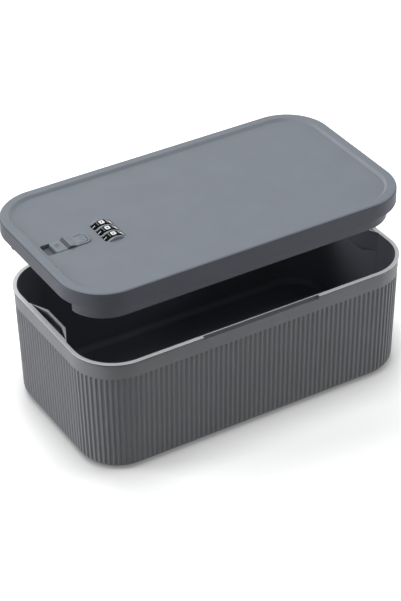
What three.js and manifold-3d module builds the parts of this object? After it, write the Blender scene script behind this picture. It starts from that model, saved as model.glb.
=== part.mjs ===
// Medication lock box: a fluted tub and a lift-off lid that is held at both ends
// by two bolts, drawn out by one thumb slider behind three code dials.
// Millimetres, +Z up, +X to the end away from the slider, -Y to the front.
// The origin is the middle of the tub's flat underside.
import * as THREE from 'three';
import { mergeVertices } from 'three/addons/utils/BufferGeometryUtils.js';
import Module from 'manifold-3d';

const wasm = await Module();
wasm.setup();

// Running clearance between pieces that pass each other, and between seated faces
const GAP = 0.3;
const SLIDE_GAP = 0.4;
// How far a cutting solid runs past the face that it cuts
const PAST = 1;

// Tub
const TUB_LENGTH = 280;
const TUB_WIDTH = 155;
const TUB_HEIGHT = 98;
const TUB_CORNER = 36;
const TUB_DRAFT = 2.5;
const TUB_FLOOR = 3;
const TUB_FOOT_RADIUS = 9;
const TUB_INNER_RADIUS = 5;
const RIM_WIDTH = 4;
const RIM_HEIGHT = 0.8;
const RIM_PROUD = 0.6;
const RIM_EDGE = 0.4;
const BAND_HEIGHT = 13.5;
const FLUTE_PITCH = 4.2;
const FLUTE_RADIUS = 1.3;
const FLUTE_DEPTH = 0.8;
const FLUTE_BOTTOM = 3;
const FLUTE_SIDES = 4;
const NOTCH_LENGTH = 100;
const NOTCH_HEIGHT = 3.6;
const NOTCH_DEPTH = 2;

// Keeper pocket inside each end wall, open at the rim
const POCKET_BASE = 60;
const POCKET_FACE = 27;
const POCKET_REACH = 7;
const POCKET_WALL = 2;
const POCKET_DEPTH = 15;
const POCKET_TAPER = 9;
// Shares: a margin's widening of the slanted walls, and the width left at the foot
const POCKET_SPREAD = 1.2;
const POCKET_NARROWING = 0.55;
const WINDOW_WIDTH = 15;
const WINDOW_GAP = 0.6;

// Lid, measured from its seat on the rim
const LID_OVERHANG = 0.5;
const LID_HEIGHT = 12.5;
const LID_EDGE = 2.2;
const LID_EDGE_BEND = 0.3;
const LID_FOOT_EDGE = 0.3;
const PANEL_RECESS = 2;
const PANEL_THICKNESS = 2.5;
const BORDER_WIDTH = 7.2;
const BORDER_SLOPE = 2.4;
const SKIRT_WALL = 2.5;
const PLUG_INSET = 6;
const PLUG_DRAFT = 0.6;
const PLUG_EDGE = 0.8;
const PLUG_WALL = 2.2;
const PLUG_FLOOR = 1.8;
const FLANGE_THICKNESS = 1.8;
const BAY_CLEARANCE = 2;

// The lid stands lifted off the tub, a little towards the slider end
const LID_LIFT = 50.5;
const LID_LEAN = 6;

// Code dials on one cross spindle
const DIAL_COUNT = 3;
const DIAL_TO_SLOT = 18;
const DIAL_RADIUS = 11.6;
const DIAL_WIDTH = 6;
const DIAL_PITCH = 8.8;
const DIAL_PROUD = 3;
const DIAL_FLATS = 10;
const DIAL_FLAT_DEPTH = 0.45;
// Shares of a number's sector: out to the flat's edge and to the ridge's
const DIAL_FLAT_SHARE = 0.36;
const DIAL_RIDGE_SHARE = 0.46;
const DIAL_WINDOW_GAP = 0.3;
const DIAL_FLOOR_GAP = 1;
const SEPARATOR_PROUD = 2.2;
const SPINDLE_RADIUS = 1.75;
const SPINDLE_END = 1;
const GATE_RIM_WALL = 2.4;
const GATE_RIM_DEPTH = 2.1;
const SLEEVE_FRONT = -0.5;
const SLEEVE_FLANGE = 1.2;
const SLEEVE_HUB = 0.5;
const SLEEVE_HUB_RADIUS = 3.2;
const CLUTCH_TOOTH = 1.1;
const CLUTCH_TOOTH_WIDTH = 1.6;
const RESET_TRAVEL = 2;
const CHEEK_THICKNESS = 2;
const CHEEK_GAP = 1.2;
const CASE_DROP = 5;
const EAR_THICKNESS = 1.8;
const EAR_RADIUS = 4;
const EAR_SPREAD = 9;
const EAR_TO_BAR = 1;
const SPRING_LENGTH = 7.2;
const SPRING_WIRE = 0.5;
const SPRING_TURNS = 5;
const LEVER_THICKNESS = 2.4;
const LEVER_WIDTH = 8;
const LEVER_FOOT = 4;
const LEAF_THICKNESS = 0.5;
const LEAF_WIDTH = 4;

// Bolt bars, one plate each, driven apart by a pinion
const BOLT_TRAVEL = 6;
const BAR_THICKNESS = 2;
const BOLT_THICKNESS = 2.2;
const BOLT_WIDTH = 12;
const BOLT_DROP = 6.6;
const BOLT_EDGE = 0.6;
const BAR_LEG = 2;
const FINGER_WIDTH = 1.2;
const FINGER_TO_DIAL = 0.8;
const FENCE_TOOTH = 1.4;
const FENCE_REACH = 2.8;
const FENCE_GAP = 0.35;
const PALM_TO_DIAL = 4;
const PALM_LENGTH = 10;
const PINION_TEETH = 12;
const PINION_MODULE = 1;
const PINION_TO_DIAL = 38;
const PRESSURE_ANGLE = THREE.MathUtils.degToRad(20);
const BACKLASH = 0.5;
const ARM_WIDTH = 5.75;
const ARM_TO_SPINDLE = 1.25;
const RACK_REACH = 12;
const RIB_THICKNESS = 2;
const SHOULDER_LENGTH = 12;
const PIN_LENGTH = 5;

// Thumb slider in its slot
const SLOT_MARGIN = 0.9;
const SLOT_LENGTH = 34;
const SLOT_WIDTH = 14.4;
const SLOT_LEFT_RADIUS = 1.5;
const SLOT_RIGHT_RADIUS = 5;
const SLOT_REBATE = 2.8;
const SLOT_REBATE_DEPTH = 1.4;
const SLIDER_CLEAR = 1.2;
const SLIDER_STEP = 11.3;
const SLIDER_PAD_PROUD = 0.5;
const SLIDER_CREST_PROUD = 2.3;
const SLIDER_CREST_RUN = 6.4;
const SLIDER_PROUD = 0.8;
const SLIDER_FLANGE = 2;
const SLIDER_FLANGE_THICKNESS = 2.4;
const SLIDER_SCOOP = 0.7;
const SLIDER_SCOOP_RADIUS = 20;
const SLIDER_SLOPE = 1.2;
const STEM_WIDTH = 10;
const STEM_LENGTH = 16;
const STEM_SHIFT = 1.6;
const RAIL_WIDTH = 1.6;
const RAIL_DEPTH = 3.6;

// Fasteners
const SCREW_HOLE = 1.55;
const SCREW_CLEARANCE = 0.6;
const SCREW_SHANK = 1.25;
const SCREW_HEAD = 2.6;
const SCREW_HEAD_HEIGHT = 1.6;
const SCREW_HEAD_TAPER = 0.8;
const SCREW_HEAD_SIDE = 0.6;
const BASE_SCREW_LENGTH = 16;
const CASE_SCREW_LENGTH = 7;
const SLIDER_SCREW_LENGTH = 5;
const BOSS_RADIUS = 4.2;
const POST_RADIUS = 3.5;
const CASE_POST_RADIUS = 3.2;
const SCREW_FROM_END = 16.5;
const SCREW_FROM_SIDE = 24;

const ROUND_STEPS = 14;
const HOLE_STEPS = 8;
const BORE_STEPS = 18;
const CORNER_STEPS = 7;
const ARC_STEPS = 30;

// Worked-out sizes
const HALF_LENGTH = TUB_LENGTH / 2;
const HALF_WIDTH = TUB_WIDTH / 2;
const LID_HALF_LENGTH = HALF_LENGTH + LID_OVERHANG;
const LID_HALF_WIDTH = HALF_WIDTH + LID_OVERHANG;
const LID_CORNER = TUB_CORNER + LID_OVERHANG;
const PANEL_TOP = LID_HEIGHT - PANEL_RECESS;
const PANEL_UNDER = PANEL_TOP - PANEL_THICKNESS;
const DIAL_Z = PANEL_TOP + DIAL_PROUD - DIAL_RADIUS;
const FLOOR_TOP = DIAL_Z - DIAL_RADIUS - DIAL_FLOOR_GAP;
const PLUG_DEPTH = PLUG_FLOOR - FLOOR_TOP;
const SLOT_LEFT = -LID_HALF_LENGTH + BORDER_WIDTH + BORDER_SLOPE + SLOT_MARGIN;
const SLOT_RIGHT = SLOT_LEFT + SLOT_LENGTH;
const DIAL_X = SLOT_RIGHT + DIAL_TO_SLOT;
const BAR_BOTTOM = DIAL_Z - BAR_THICKNESS / 2;
const BAR_TOP = DIAL_Z + BAR_THICKNESS / 2;
const BOLT_TOP = DIAL_Z + BAR_THICKNESS / 2 - BOLT_DROP - BAR_THICKNESS;
const BOLT_BOTTOM = BOLT_TOP - BOLT_THICKNESS;
const BAY_X = HALF_LENGTH - RIM_WIDTH - POCKET_REACH - BAY_CLEARANCE;
const LEG_X = BAY_X - PLUG_WALL - BOLT_TRAVEL - SLIDE_GAP;
const ROW = Array.from({ length: DIAL_COUNT }, (_, i) => ((DIAL_COUNT - 1) / 2 - i) * DIAL_PITCH);

// Fence teeth: their inner end when drawn in, and the rim and bores that they clear
const FENCE_INNER = SPINDLE_RADIUS + FENCE_GAP;
const FENCE_OUTER = FENCE_INNER + FENCE_TOOTH + BOLT_TRAVEL;
const GATE_RIM_OUTER = FENCE_OUTER - FENCE_TOOTH - SLIDE_GAP;
const GATE_RIM_INNER = GATE_RIM_OUTER - GATE_RIM_WALL;
const FENCE_BORE = Math.hypot(FENCE_OUTER, BAR_THICKNESS / 2) + FENCE_GAP;

// Lock case round the dials
const CHEEK_FRONT = ROW[DIAL_COUNT - 1] - DIAL_WIDTH / 2 - FINGER_TO_DIAL - FINGER_WIDTH - CHEEK_GAP;
const CHEEK_BACK = ROW[0] + DIAL_WIDTH / 2 + CHEEK_GAP;
const CASE_LEFT = DIAL_X - DIAL_RADIUS - GAP;
const CASE_WALL_X = DIAL_X + DIAL_RADIUS + LEAF_THICKNESS + 3 * GAP;
const EAR_TOP = BAR_TOP - EAR_TO_BAR;
const EAR_BOTTOM = EAR_TOP - EAR_THICKNESS;
const COLLAR_Y = CHEEK_FRONT - CHEEK_THICKNESS - SPRING_LENGTH;
const LEVER_Y = COLLAR_Y - LEVER_THICKNESS / 2;

// Pinion between the two racks, behind the case
const PITCH_RADIUS = PINION_MODULE * PINION_TEETH / 2;
const DEDENDUM = 1.25 * PINION_MODULE;
const ADDENDUM = 0.9 * PINION_MODULE;
const RACK_ROOT = PITCH_RADIUS + DEDENDUM;
const ARM_Y = CHEEK_BACK + CHEEK_THICKNESS + SPINDLE_END + RESET_TRAVEL + ARM_TO_SPINDLE;
const PINION_X = DIAL_X + PINION_TO_DIAL;
const PINION_Y = ARM_Y - RACK_ROOT;
const RIGHT_BAR_HALF = PINION_Y - RACK_ROOT;
const PALM_RIGHT = DIAL_X - DIAL_RADIUS - PALM_TO_DIAL;
const PALM_LEFT = PALM_RIGHT - PALM_LENGTH;

// Thumb slider, drawn back to the right-hand end of its slot
const SLIDER_LEFT = SLOT_LEFT + BOLT_TRAVEL + SLIDER_CLEAR;
const SLIDER_RIGHT = SLOT_RIGHT - SLIDE_GAP;
const SLIDER_TOP = PANEL_TOP + SLIDER_PROUD;
const SLIDER_PAD = PANEL_TOP + SLIDER_PAD_PROUD;
const SLIDER_CREST = PANEL_TOP + SLIDER_CREST_PROUD;
const REBATE_RIGHT = SLOT_RIGHT + SLOT_REBATE;
const REBATE_FLOOR = PANEL_TOP - SLOT_REBATE_DEPTH;
const SLIDER_FLANGE_LEFT = SLOT_LEFT - SLIDER_FLANGE + SLIDE_GAP;
const SLIDER_FLANGE_RIGHT = DIAL_X - DIAL_RADIUS - SLIDE_GAP;
const STEM_BOTTOM = BAR_TOP + GAP;
const STEM_X = (SLIDER_LEFT + SLIDER_RIGHT) / 2 + STEM_SHIFT;
const SLIDER_SCREWS = [[STEM_X - STEM_LENGTH / 4, 0], [STEM_X + STEM_LENGTH / 4, 0]];

// Where the base screws stand: four near the corners and one at each long side
const SCREW_X = LID_HALF_LENGTH - PLUG_INSET - SCREW_FROM_END;
const SCREW_Y = LID_HALF_WIDTH - PLUG_INSET - SCREW_FROM_SIDE;
const SCREW_MIDDLE_Y = LID_HALF_WIDTH - PLUG_INSET - SCREW_FROM_SIDE / 2;
const BASE_SCREWS = [1, -1].flatMap((side) => [
  [SCREW_X, side * SCREW_Y],
  [0, side * SCREW_MIDDLE_Y],
  [-SCREW_X, side * SCREW_Y],
]);
// Underside of the base screws' heads, sunk a little into the plug's bottom
const BASE_SCREW_SEAT = -PLUG_DEPTH + SCREW_HEAD_HEIGHT + GAP;

// Case screws: two before the front cheek and one behind the wall
const EAR_Y = CHEEK_FRONT - CHEEK_THICKNESS - EAR_RADIUS;
const CASE_SCREWS = [
  [DIAL_X - EAR_SPREAD, EAR_Y],
  [DIAL_X + EAR_SPREAD, EAR_Y],
  [CASE_WALL_X + CHEEK_THICKNESS + EAR_RADIUS + PAST, (CHEEK_FRONT + CHEEK_BACK) / 2],
];

// Ribs that lie across the bars, as x and the rib's two ends in y
const RACK_END = PINION_X + RACK_REACH - RIB_THICKNESS;
const ARM_RIBS = [PALM_RIGHT - PALM_LENGTH / 2, DIAL_X + PINION_TO_DIAL / 2, RACK_END]
  .map((x) => [x, ARM_Y, ARM_Y + ARM_WIDTH]);
const RIGHT_BAR_RIBS = [RACK_END, (RACK_END + LEG_X) / 2, LEG_X - 2 * SHOULDER_LENGTH]
  .map((x) => [x, -RIGHT_BAR_HALF, RIGHT_BAR_HALF]);
const PALM_RIBS = [
  [PALM_LEFT - PALM_LENGTH, BOLT_WIDTH / 3, BOLT_WIDTH / 2 + PAST],
  [PALM_LEFT - PALM_LENGTH, -BOLT_WIDTH / 2 - PAST, -BOLT_WIDTH / 3],
  [PALM_RIGHT - PALM_LENGTH / 2, CHEEK_FRONT, ARM_Y],
];

// Colours and finishes
const plastic = (name, color, roughness = 0.55) =>
  new THREE.MeshStandardMaterial({ name, color, roughness, metalness: 0 });
const metal = (name, color, roughness = 0.35) =>
  new THREE.MeshStandardMaterial({ name, color, roughness, metalness: 0.9 });
const TUB_GREY = plastic('tub grey plastic', 0x7d7e82);
const LID_GREY = plastic('lid grey plastic', 0x83888f, 0.45);
const BASE_GREY = plastic('lid base grey plastic', 0x676970);
const SLIDER_GREY = plastic('slider grey plastic', 0x858a92, 0.45);
const CASE_BLACK = plastic('case black plastic', 0x222326);
const DIAL_BLACK = plastic('dial black plastic', 0x101113, 0.4);
const BRASS = metal('brass', 0xb08d4f);
const ZINC_STEEL = metal('zinc plated steel', 0xb4b7ba);
const SPRING_STEEL = metal('spring steel', 0x8f9295, 0.3);

// Solid from a closed three.js geometry
function solid(geometry) {
  const bare = geometry.clone();
  bare.deleteAttribute('normal');
  bare.deleteAttribute('uv');
  const merged = mergeVertices(bare, 1e-4);
  return new wasm.Manifold(new wasm.Mesh({
    numProp: 3,
    vertProperties: new Float32Array(merged.attributes.position.array),
    triVerts: new Uint32Array(merged.index.array),
  }));
}

// three.js geometry from a solid
function geometryOf(body) {
  const mesh = body.getMesh();
  const geometry = new THREE.BufferGeometry();
  geometry.setAttribute('position', new THREE.BufferAttribute(new Float32Array(mesh.vertProperties), 3));
  geometry.setIndex(new THREE.BufferAttribute(new Uint32Array(mesh.triVerts), 1));
  geometry.computeVertexNormals();
  return geometry;
}

const join = (...bodies) => wasm.Manifold.union(bodies.flat());
const cut = (body, ...tools) => body.subtract(join(...tools));

// Box between two corners
function box([x0, y0, z0], [x1, y1, z1]) {
  const geometry = new THREE.BoxGeometry(x1 - x0, y1 - y0, z1 - z0);
  geometry.translate((x0 + x1) / 2, (y0 + y1) / 2, (z0 + z1) / 2);
  return solid(geometry);
}

// Upright cylinder from z0 to z1
function post(x, y, radius, z0, z1, steps = ROUND_STEPS) {
  const geometry = new THREE.CylinderGeometry(radius, radius, z1 - z0, steps);
  geometry.rotateX(Math.PI / 2);
  geometry.translate(x, y, (z0 + z1) / 2);
  return solid(geometry);
}

// Cylinder along Y about a cross axis at x, z
function barrel(x, z, radius, y0, y1, steps = ROUND_STEPS) {
  const geometry = new THREE.CylinderGeometry(radius, radius, y1 - y0, steps);
  geometry.rotateY(Math.PI / steps);
  geometry.translate(x, (y0 + y1) / 2, z);
  return solid(geometry);
}

const extruded = (outline, depth) =>
  new THREE.ExtrudeGeometry(new THREE.Shape(outline), { depth, bevelEnabled: false });

// Upright prism on an outline in the XY plane
function prism(outline, z0, z1) {
  const geometry = extruded(outline, z1 - z0);
  geometry.translate(0, 0, z0);
  return solid(geometry);
}

// Prism across Y on an outline of x, z points
function crossPrism(outline, y0, y1) {
  const geometry = extruded(outline, y1 - y0);
  geometry.rotateX(Math.PI / 2);
  geometry.translate(0, y1, 0);
  return solid(geometry);
}

const points = (...pairs) => pairs.map(([x, y]) => new THREE.Vector2(x, y));

// Outline of a rounded rectangle about the origin
function roundedOutline(halfLength, halfWidth, radius, steps = CORNER_STEPS) {
  const outline = [];
  for (let quarter = 0; quarter < 4; quarter++) {
    const side = quarter === 0 || quarter === 3 ? 1 : -1;
    const end = quarter < 2 ? 1 : -1;
    for (let k = 0; k <= steps; k++) {
      const angle = (quarter + k / steps) * Math.PI / 2;
      outline.push(new THREE.Vector2(
        side * (halfLength - radius) + radius * Math.cos(angle),
        end * (halfWidth - radius) + radius * Math.sin(angle),
      ));
    }
  }
  return outline;
}

// Closed loft through convex outlines of equal point counts, from the lowest to the last
function loft(rings) {
  const count = rings[0].outline.length;
  const positions = [];
  const index = [];
  for (const { outline, z } of rings) {
    for (const point of outline) positions.push(point.x, point.y, z);
  }
  for (let r = 0; r + 1 < rings.length; r++) {
    for (let k = 0; k < count; k++) {
      const a = r * count + k;
      const b = r * count + (k + 1) % count;
      index.push(a, b, b + count, a, b + count, a + count);
    }
  }
  const last = (rings.length - 1) * count;
  for (let k = 1; k + 1 < count; k++) {
    index.push(0, k + 1, k);
    index.push(last, last + k, last + k + 1);
  }
  const geometry = new THREE.BufferGeometry();
  geometry.setAttribute('position', new THREE.Float32BufferAttribute(positions, 3));
  geometry.setIndex(index);
  return solid(geometry);
}

const tubOutline = (inset) => roundedOutline(HALF_LENGTH - inset, HALF_WIDTH - inset, TUB_CORNER - inset);
const lidOutline = (inset) =>
  roundedOutline(LID_HALF_LENGTH - inset, LID_HALF_WIDTH - inset, LID_CORNER - inset);

// How far the tub's wall has drawn in at a height
const draftAt = (z) => TUB_DRAFT * (1 - z / TUB_HEIGHT);

// Rings that carry a wall round into a flat bottom
function roundedFoot(bottom, radius, inset) {
  const steps = 3;
  return Array.from({ length: steps + 1 }, (_, k) => {
    const angle = (k / steps) * Math.PI / 2;
    const z = bottom + radius * (1 - Math.cos(angle));
    return { outline: tubOutline(inset + draftAt(z) + radius * (1 - Math.sin(angle))), z };
  });
}

// Places round the tub's wall, each with its outward direction
function wallStations(count) {
  const straightX = 2 * (HALF_LENGTH - TUB_CORNER);
  const straightY = 2 * (HALF_WIDTH - TUB_CORNER);
  const arc = TUB_CORNER * Math.PI / 2;
  const around = 2 * (straightX + straightY) + 4 * arc;
  const stations = [];
  for (let i = 0; i < count; i++) {
    let s = (i + 0.5) * around / count;
    let turn = 0;
    let side = straightY;
    while (s > side + arc) {
      s -= side + arc;
      turn += 1;
      side = turn % 2 ? straightX : straightY;
    }
    const reach = turn % 2 ? HALF_WIDTH : HALF_LENGTH;
    const along = side / 2;
    const bend = Math.max(0, (s - side) / TUB_CORNER);
    const local = s <= side
      ? new THREE.Vector2(reach, s - along)
      : new THREE.Vector2(
        reach - TUB_CORNER + TUB_CORNER * Math.cos(bend),
        along + TUB_CORNER * Math.sin(bend),
      );
    const normal = new THREE.Vector2(Math.cos(bend), Math.sin(bend));
    const quarter = turn * Math.PI / 2;
    stations.push({
      place: local.rotateAround(new THREE.Vector2(), quarter),
      normal: normal.rotateAround(new THREE.Vector2(), quarter),
    });
  }
  return stations;
}

// One cutter for each flute, leaning with the wall, round at its upper end
function fluteCutters() {
  const around = 2 * (TUB_LENGTH + TUB_WIDTH) - (8 - 2 * Math.PI) * TUB_CORNER;
  const top = TUB_HEIGHT - BAND_HEIGHT;
  const length = top - FLUTE_BOTTOM;
  const profile = points([0, 0], [FLUTE_RADIUS, 0], [FLUTE_RADIUS, length - FLUTE_RADIUS], [0, length]);
  const shape = new THREE.LatheGeometry(profile, FLUTE_SIDES);
  const lean = TUB_DRAFT / TUB_HEIGHT;
  return wallStations(Math.round(around / FLUTE_PITCH)).map(({ place, normal }) => {
    const inset = RIM_PROUD + draftAt(FLUTE_BOTTOM) + FLUTE_DEPTH - FLUTE_RADIUS;
    const tangent = new THREE.Vector3(-normal.y, normal.x, 0);
    const up = new THREE.Vector3(normal.x * lean, normal.y * lean, 1).normalize();
    const inward = new THREE.Vector3().crossVectors(up, tangent);
    const frame = new THREE.Matrix4().makeBasis(inward, up, tangent);
    frame.setPosition(place.x - normal.x * inset, place.y - normal.y * inset, FLUTE_BOTTOM);
    return solid(shape.clone().applyMatrix4(frame));
  });
}

// Half plan of a keeper pocket, widened by a margin all round
function pocketOutline(margin) {
  const wall = HALF_LENGTH - RIM_WIDTH;
  const reach = POCKET_REACH + margin;
  const base = POCKET_BASE / 2 + margin * POCKET_SPREAD;
  const face = POCKET_FACE / 2 + margin * POCKET_SPREAD;
  return points([wall + PAST, -base], [wall + PAST, base], [wall - reach, face], [wall - reach, -face]);
}

// Outer block of the pocket, drawn back into the end wall underneath
function pocketBlock() {
  const wall = HALF_LENGTH - RIM_WIDTH;
  const top = pocketOutline(0);
  const lower = top.map((p) => new THREE.Vector2(Math.max(p.x, wall - GAP), p.y * POCKET_NARROWING));
  const straight = TUB_HEIGHT - POCKET_DEPTH - POCKET_WALL;
  return loft([
    { outline: lower, z: straight - POCKET_TAPER },
    { outline: top, z: straight },
    { outline: top, z: TUB_HEIGHT },
  ]);
}

// Room inside the pocket and the window that the bolt enters by
function pocketHollow() {
  const wall = HALF_LENGTH - RIM_WIDTH;
  const inner = pocketOutline(-POCKET_WALL).map((p) => new THREE.Vector2(Math.min(p.x, wall), p.y));
  const seat = TUB_HEIGHT + GAP;
  return [
    prism(inner, TUB_HEIGHT - POCKET_DEPTH, TUB_HEIGHT + PAST),
    box(
      [wall - POCKET_REACH - PAST, -WINDOW_WIDTH / 2, seat + BOLT_BOTTOM - WINDOW_GAP],
      [wall - PAST, WINDOW_WIDTH / 2, seat + BOLT_TOP + WINDOW_GAP],
    ),
  ];
}

// The same piece at the other end, for pieces that are alike to both sides of the X axis
const otherEnd = (body) => solid(geometryOf(body).rotateZ(Math.PI));
const bothEnds = (body) => [body, otherEnd(body)];

function makeTub() {
  const bandTop = TUB_HEIGHT - RIM_HEIGHT;
  const outer = loft([
    ...roundedFoot(0, TUB_FOOT_RADIUS, RIM_PROUD),
    { outline: tubOutline(RIM_PROUD + draftAt(bandTop)), z: bandTop },
    { outline: tubOutline(0), z: bandTop },
    { outline: tubOutline(0), z: TUB_HEIGHT - RIM_EDGE },
    { outline: tubOutline(RIM_EDGE), z: TUB_HEIGHT },
  ]);
  const inside = loft([
    ...roundedFoot(TUB_FLOOR, TUB_INNER_RADIUS, RIM_WIDTH),
    { outline: tubOutline(RIM_WIDTH), z: TUB_HEIGHT + PAST },
  ]);
  const notch = box(
    [-NOTCH_LENGTH / 2, -HALF_WIDTH - PAST, TUB_HEIGHT - NOTCH_HEIGHT],
    [NOTCH_LENGTH / 2, -HALF_WIDTH + NOTCH_DEPTH, TUB_HEIGHT + PAST],
  );
  const pockets = bothEnds(pocketBlock()).map((pocket) => pocket.intersect(outer));
  const shell = join(cut(outer, inside), pockets);
  return cut(shell, fluteCutters(), notch, pocketHollow().flatMap(bothEnds));
}

// Slot outline with its own radius at each end
function slotOutline(left, right, halfWidth, leftRadius, rightRadius) {
  const shape = new THREE.Shape();
  shape.moveTo(left + leftRadius, -halfWidth);
  shape.lineTo(right - rightRadius, -halfWidth);
  shape.absarc(right - rightRadius, -halfWidth + rightRadius, rightRadius, -Math.PI / 2, 0);
  shape.lineTo(right, halfWidth - rightRadius);
  shape.absarc(right - rightRadius, halfWidth - rightRadius, rightRadius, 0, Math.PI / 2);
  shape.lineTo(left + leftRadius, halfWidth);
  shape.absarc(left + leftRadius, halfWidth - leftRadius, leftRadius, Math.PI / 2, Math.PI);
  shape.lineTo(left, -halfWidth + leftRadius);
  shape.absarc(left + leftRadius, -halfWidth + leftRadius, leftRadius, Math.PI, Math.PI * 1.5);
  return shape.getPoints(6);
}

// Arched walls of the cover between neighbouring dials, and a lip like them outside each end dial
function separators() {
  const width = DIAL_PITCH - DIAL_WIDTH - 2 * SLIDE_GAP;
  const crest = DIAL_RADIUS - DIAL_PROUD + SEPARATOR_PROUD;
  const wallBottom = BAR_TOP + 4 * GAP;
  const places = [ROW[0] + DIAL_PITCH, ...ROW].map((y) => y - DIAL_PITCH / 2);
  return places.map((middle) => {
    const between = Math.abs(middle) < ROW[0];
    const arch = barrel(DIAL_X, DIAL_Z, crest, middle - width / 2, middle + width / 2, ARC_STEPS);
    const keep = box(
      [DIAL_X - crest, middle - width, between ? wallBottom : PANEL_UNDER],
      [DIAL_X + crest, middle + width, DIAL_Z + crest + PAST],
    );
    return arch.intersect(keep);
  });
}

// Rib across a bar, between two heights
const rib = ([x, y0, y1], z0, z1) => box([x - RIB_THICKNESS / 2, y0, z0], [x + RIB_THICKNESS / 2, y1, z1]);

function makeLidShell() {
  const outer = loft([
    { outline: lidOutline(LID_FOOT_EDGE), z: 0 },
    { outline: lidOutline(0), z: LID_FOOT_EDGE },
    { outline: lidOutline(0), z: LID_HEIGHT - LID_EDGE },
    { outline: lidOutline(LID_EDGE * LID_EDGE_BEND), z: LID_HEIGHT - LID_EDGE * LID_EDGE_BEND },
    { outline: lidOutline(LID_EDGE), z: LID_HEIGHT },
    { outline: lidOutline(BORDER_WIDTH), z: LID_HEIGHT },
    { outline: lidOutline(BORDER_WIDTH + BORDER_SLOPE), z: PANEL_TOP },
  ]);
  const inside = loft([
    { outline: lidOutline(SKIRT_WALL), z: -PAST },
    { outline: lidOutline(SKIRT_WALL), z: PANEL_UNDER },
  ]);
  const railY = SLOT_WIDTH / 2 + SLIDER_FLANGE;
  const rails = [railY, -railY - RAIL_WIDTH].map((y) => box(
    [SLOT_LEFT - SLIDER_FLANGE - BOLT_TRAVEL, y, PANEL_UNDER - RAIL_DEPTH],
    [SLIDER_FLANGE_RIGHT - RAIL_WIDTH, y + RAIL_WIDTH, PANEL_UNDER + PAST],
  ));
  const screwPosts = BASE_SCREWS.map(([x, y]) => post(x, y, POST_RADIUS, GAP / 2, PANEL_UNDER + PAST));
  const casePosts = CASE_SCREWS.map(([x, y]) =>
    post(x, y, CASE_POST_RADIUS, EAR_TOP + GAP, PANEL_UNDER + PAST));
  const holdDowns = [ARM_RIBS[1], RIGHT_BAR_RIBS[1], RIGHT_BAR_RIBS[2]].map((place) =>
    rib(place, BAR_TOP + GAP, PANEL_UNDER + PAST));
  const windows = ROW.map((y) => barrel(
    DIAL_X, DIAL_Z, DIAL_RADIUS + DIAL_WINDOW_GAP,
    y - DIAL_WIDTH / 2 - SLIDE_GAP, y + DIAL_WIDTH / 2 + SLIDE_GAP, ARC_STEPS,
  ));
  const slot = prism(
    slotOutline(SLOT_LEFT, SLOT_RIGHT, SLOT_WIDTH / 2, SLOT_LEFT_RADIUS, SLOT_RIGHT_RADIUS),
    PANEL_UNDER - PAST, LID_HEIGHT + PAST,
  );
  const rebate = prism(
    slotOutline(
      SLOT_RIGHT - 2 * SLOT_RIGHT_RADIUS, REBATE_RIGHT, SLOT_WIDTH / 2, SLOT_LEFT_RADIUS, SLOT_RIGHT_RADIUS,
    ),
    REBATE_FLOOR, LID_HEIGHT + PAST,
  );
  const screwHoles = [...BASE_SCREWS, ...CASE_SCREWS].map(([x, y]) =>
    post(x, y, SCREW_HOLE, -PAST, PANEL_UNDER - SCREW_CLEARANCE, HOLE_STEPS));
  const body = join(cut(outer, inside), rails, screwPosts, casePosts, holdDowns, separators());
  return cut(body, windows, slot, rebate, screwHoles);
}

// Room of the base round a keeper pocket, its slanted sides carried on to outerX
function bayOutline(extra, outerX) {
  const [, outer, inner] = pocketOutline(BAY_CLEARANCE + extra);
  const far = inner.clone().lerp(outer, (outerX - inner.x) / (outer.x - inner.x));
  return points([far.x, -far.y], [far.x, far.y], [inner.x, inner.y], [inner.x, -inner.y]);
}

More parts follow.
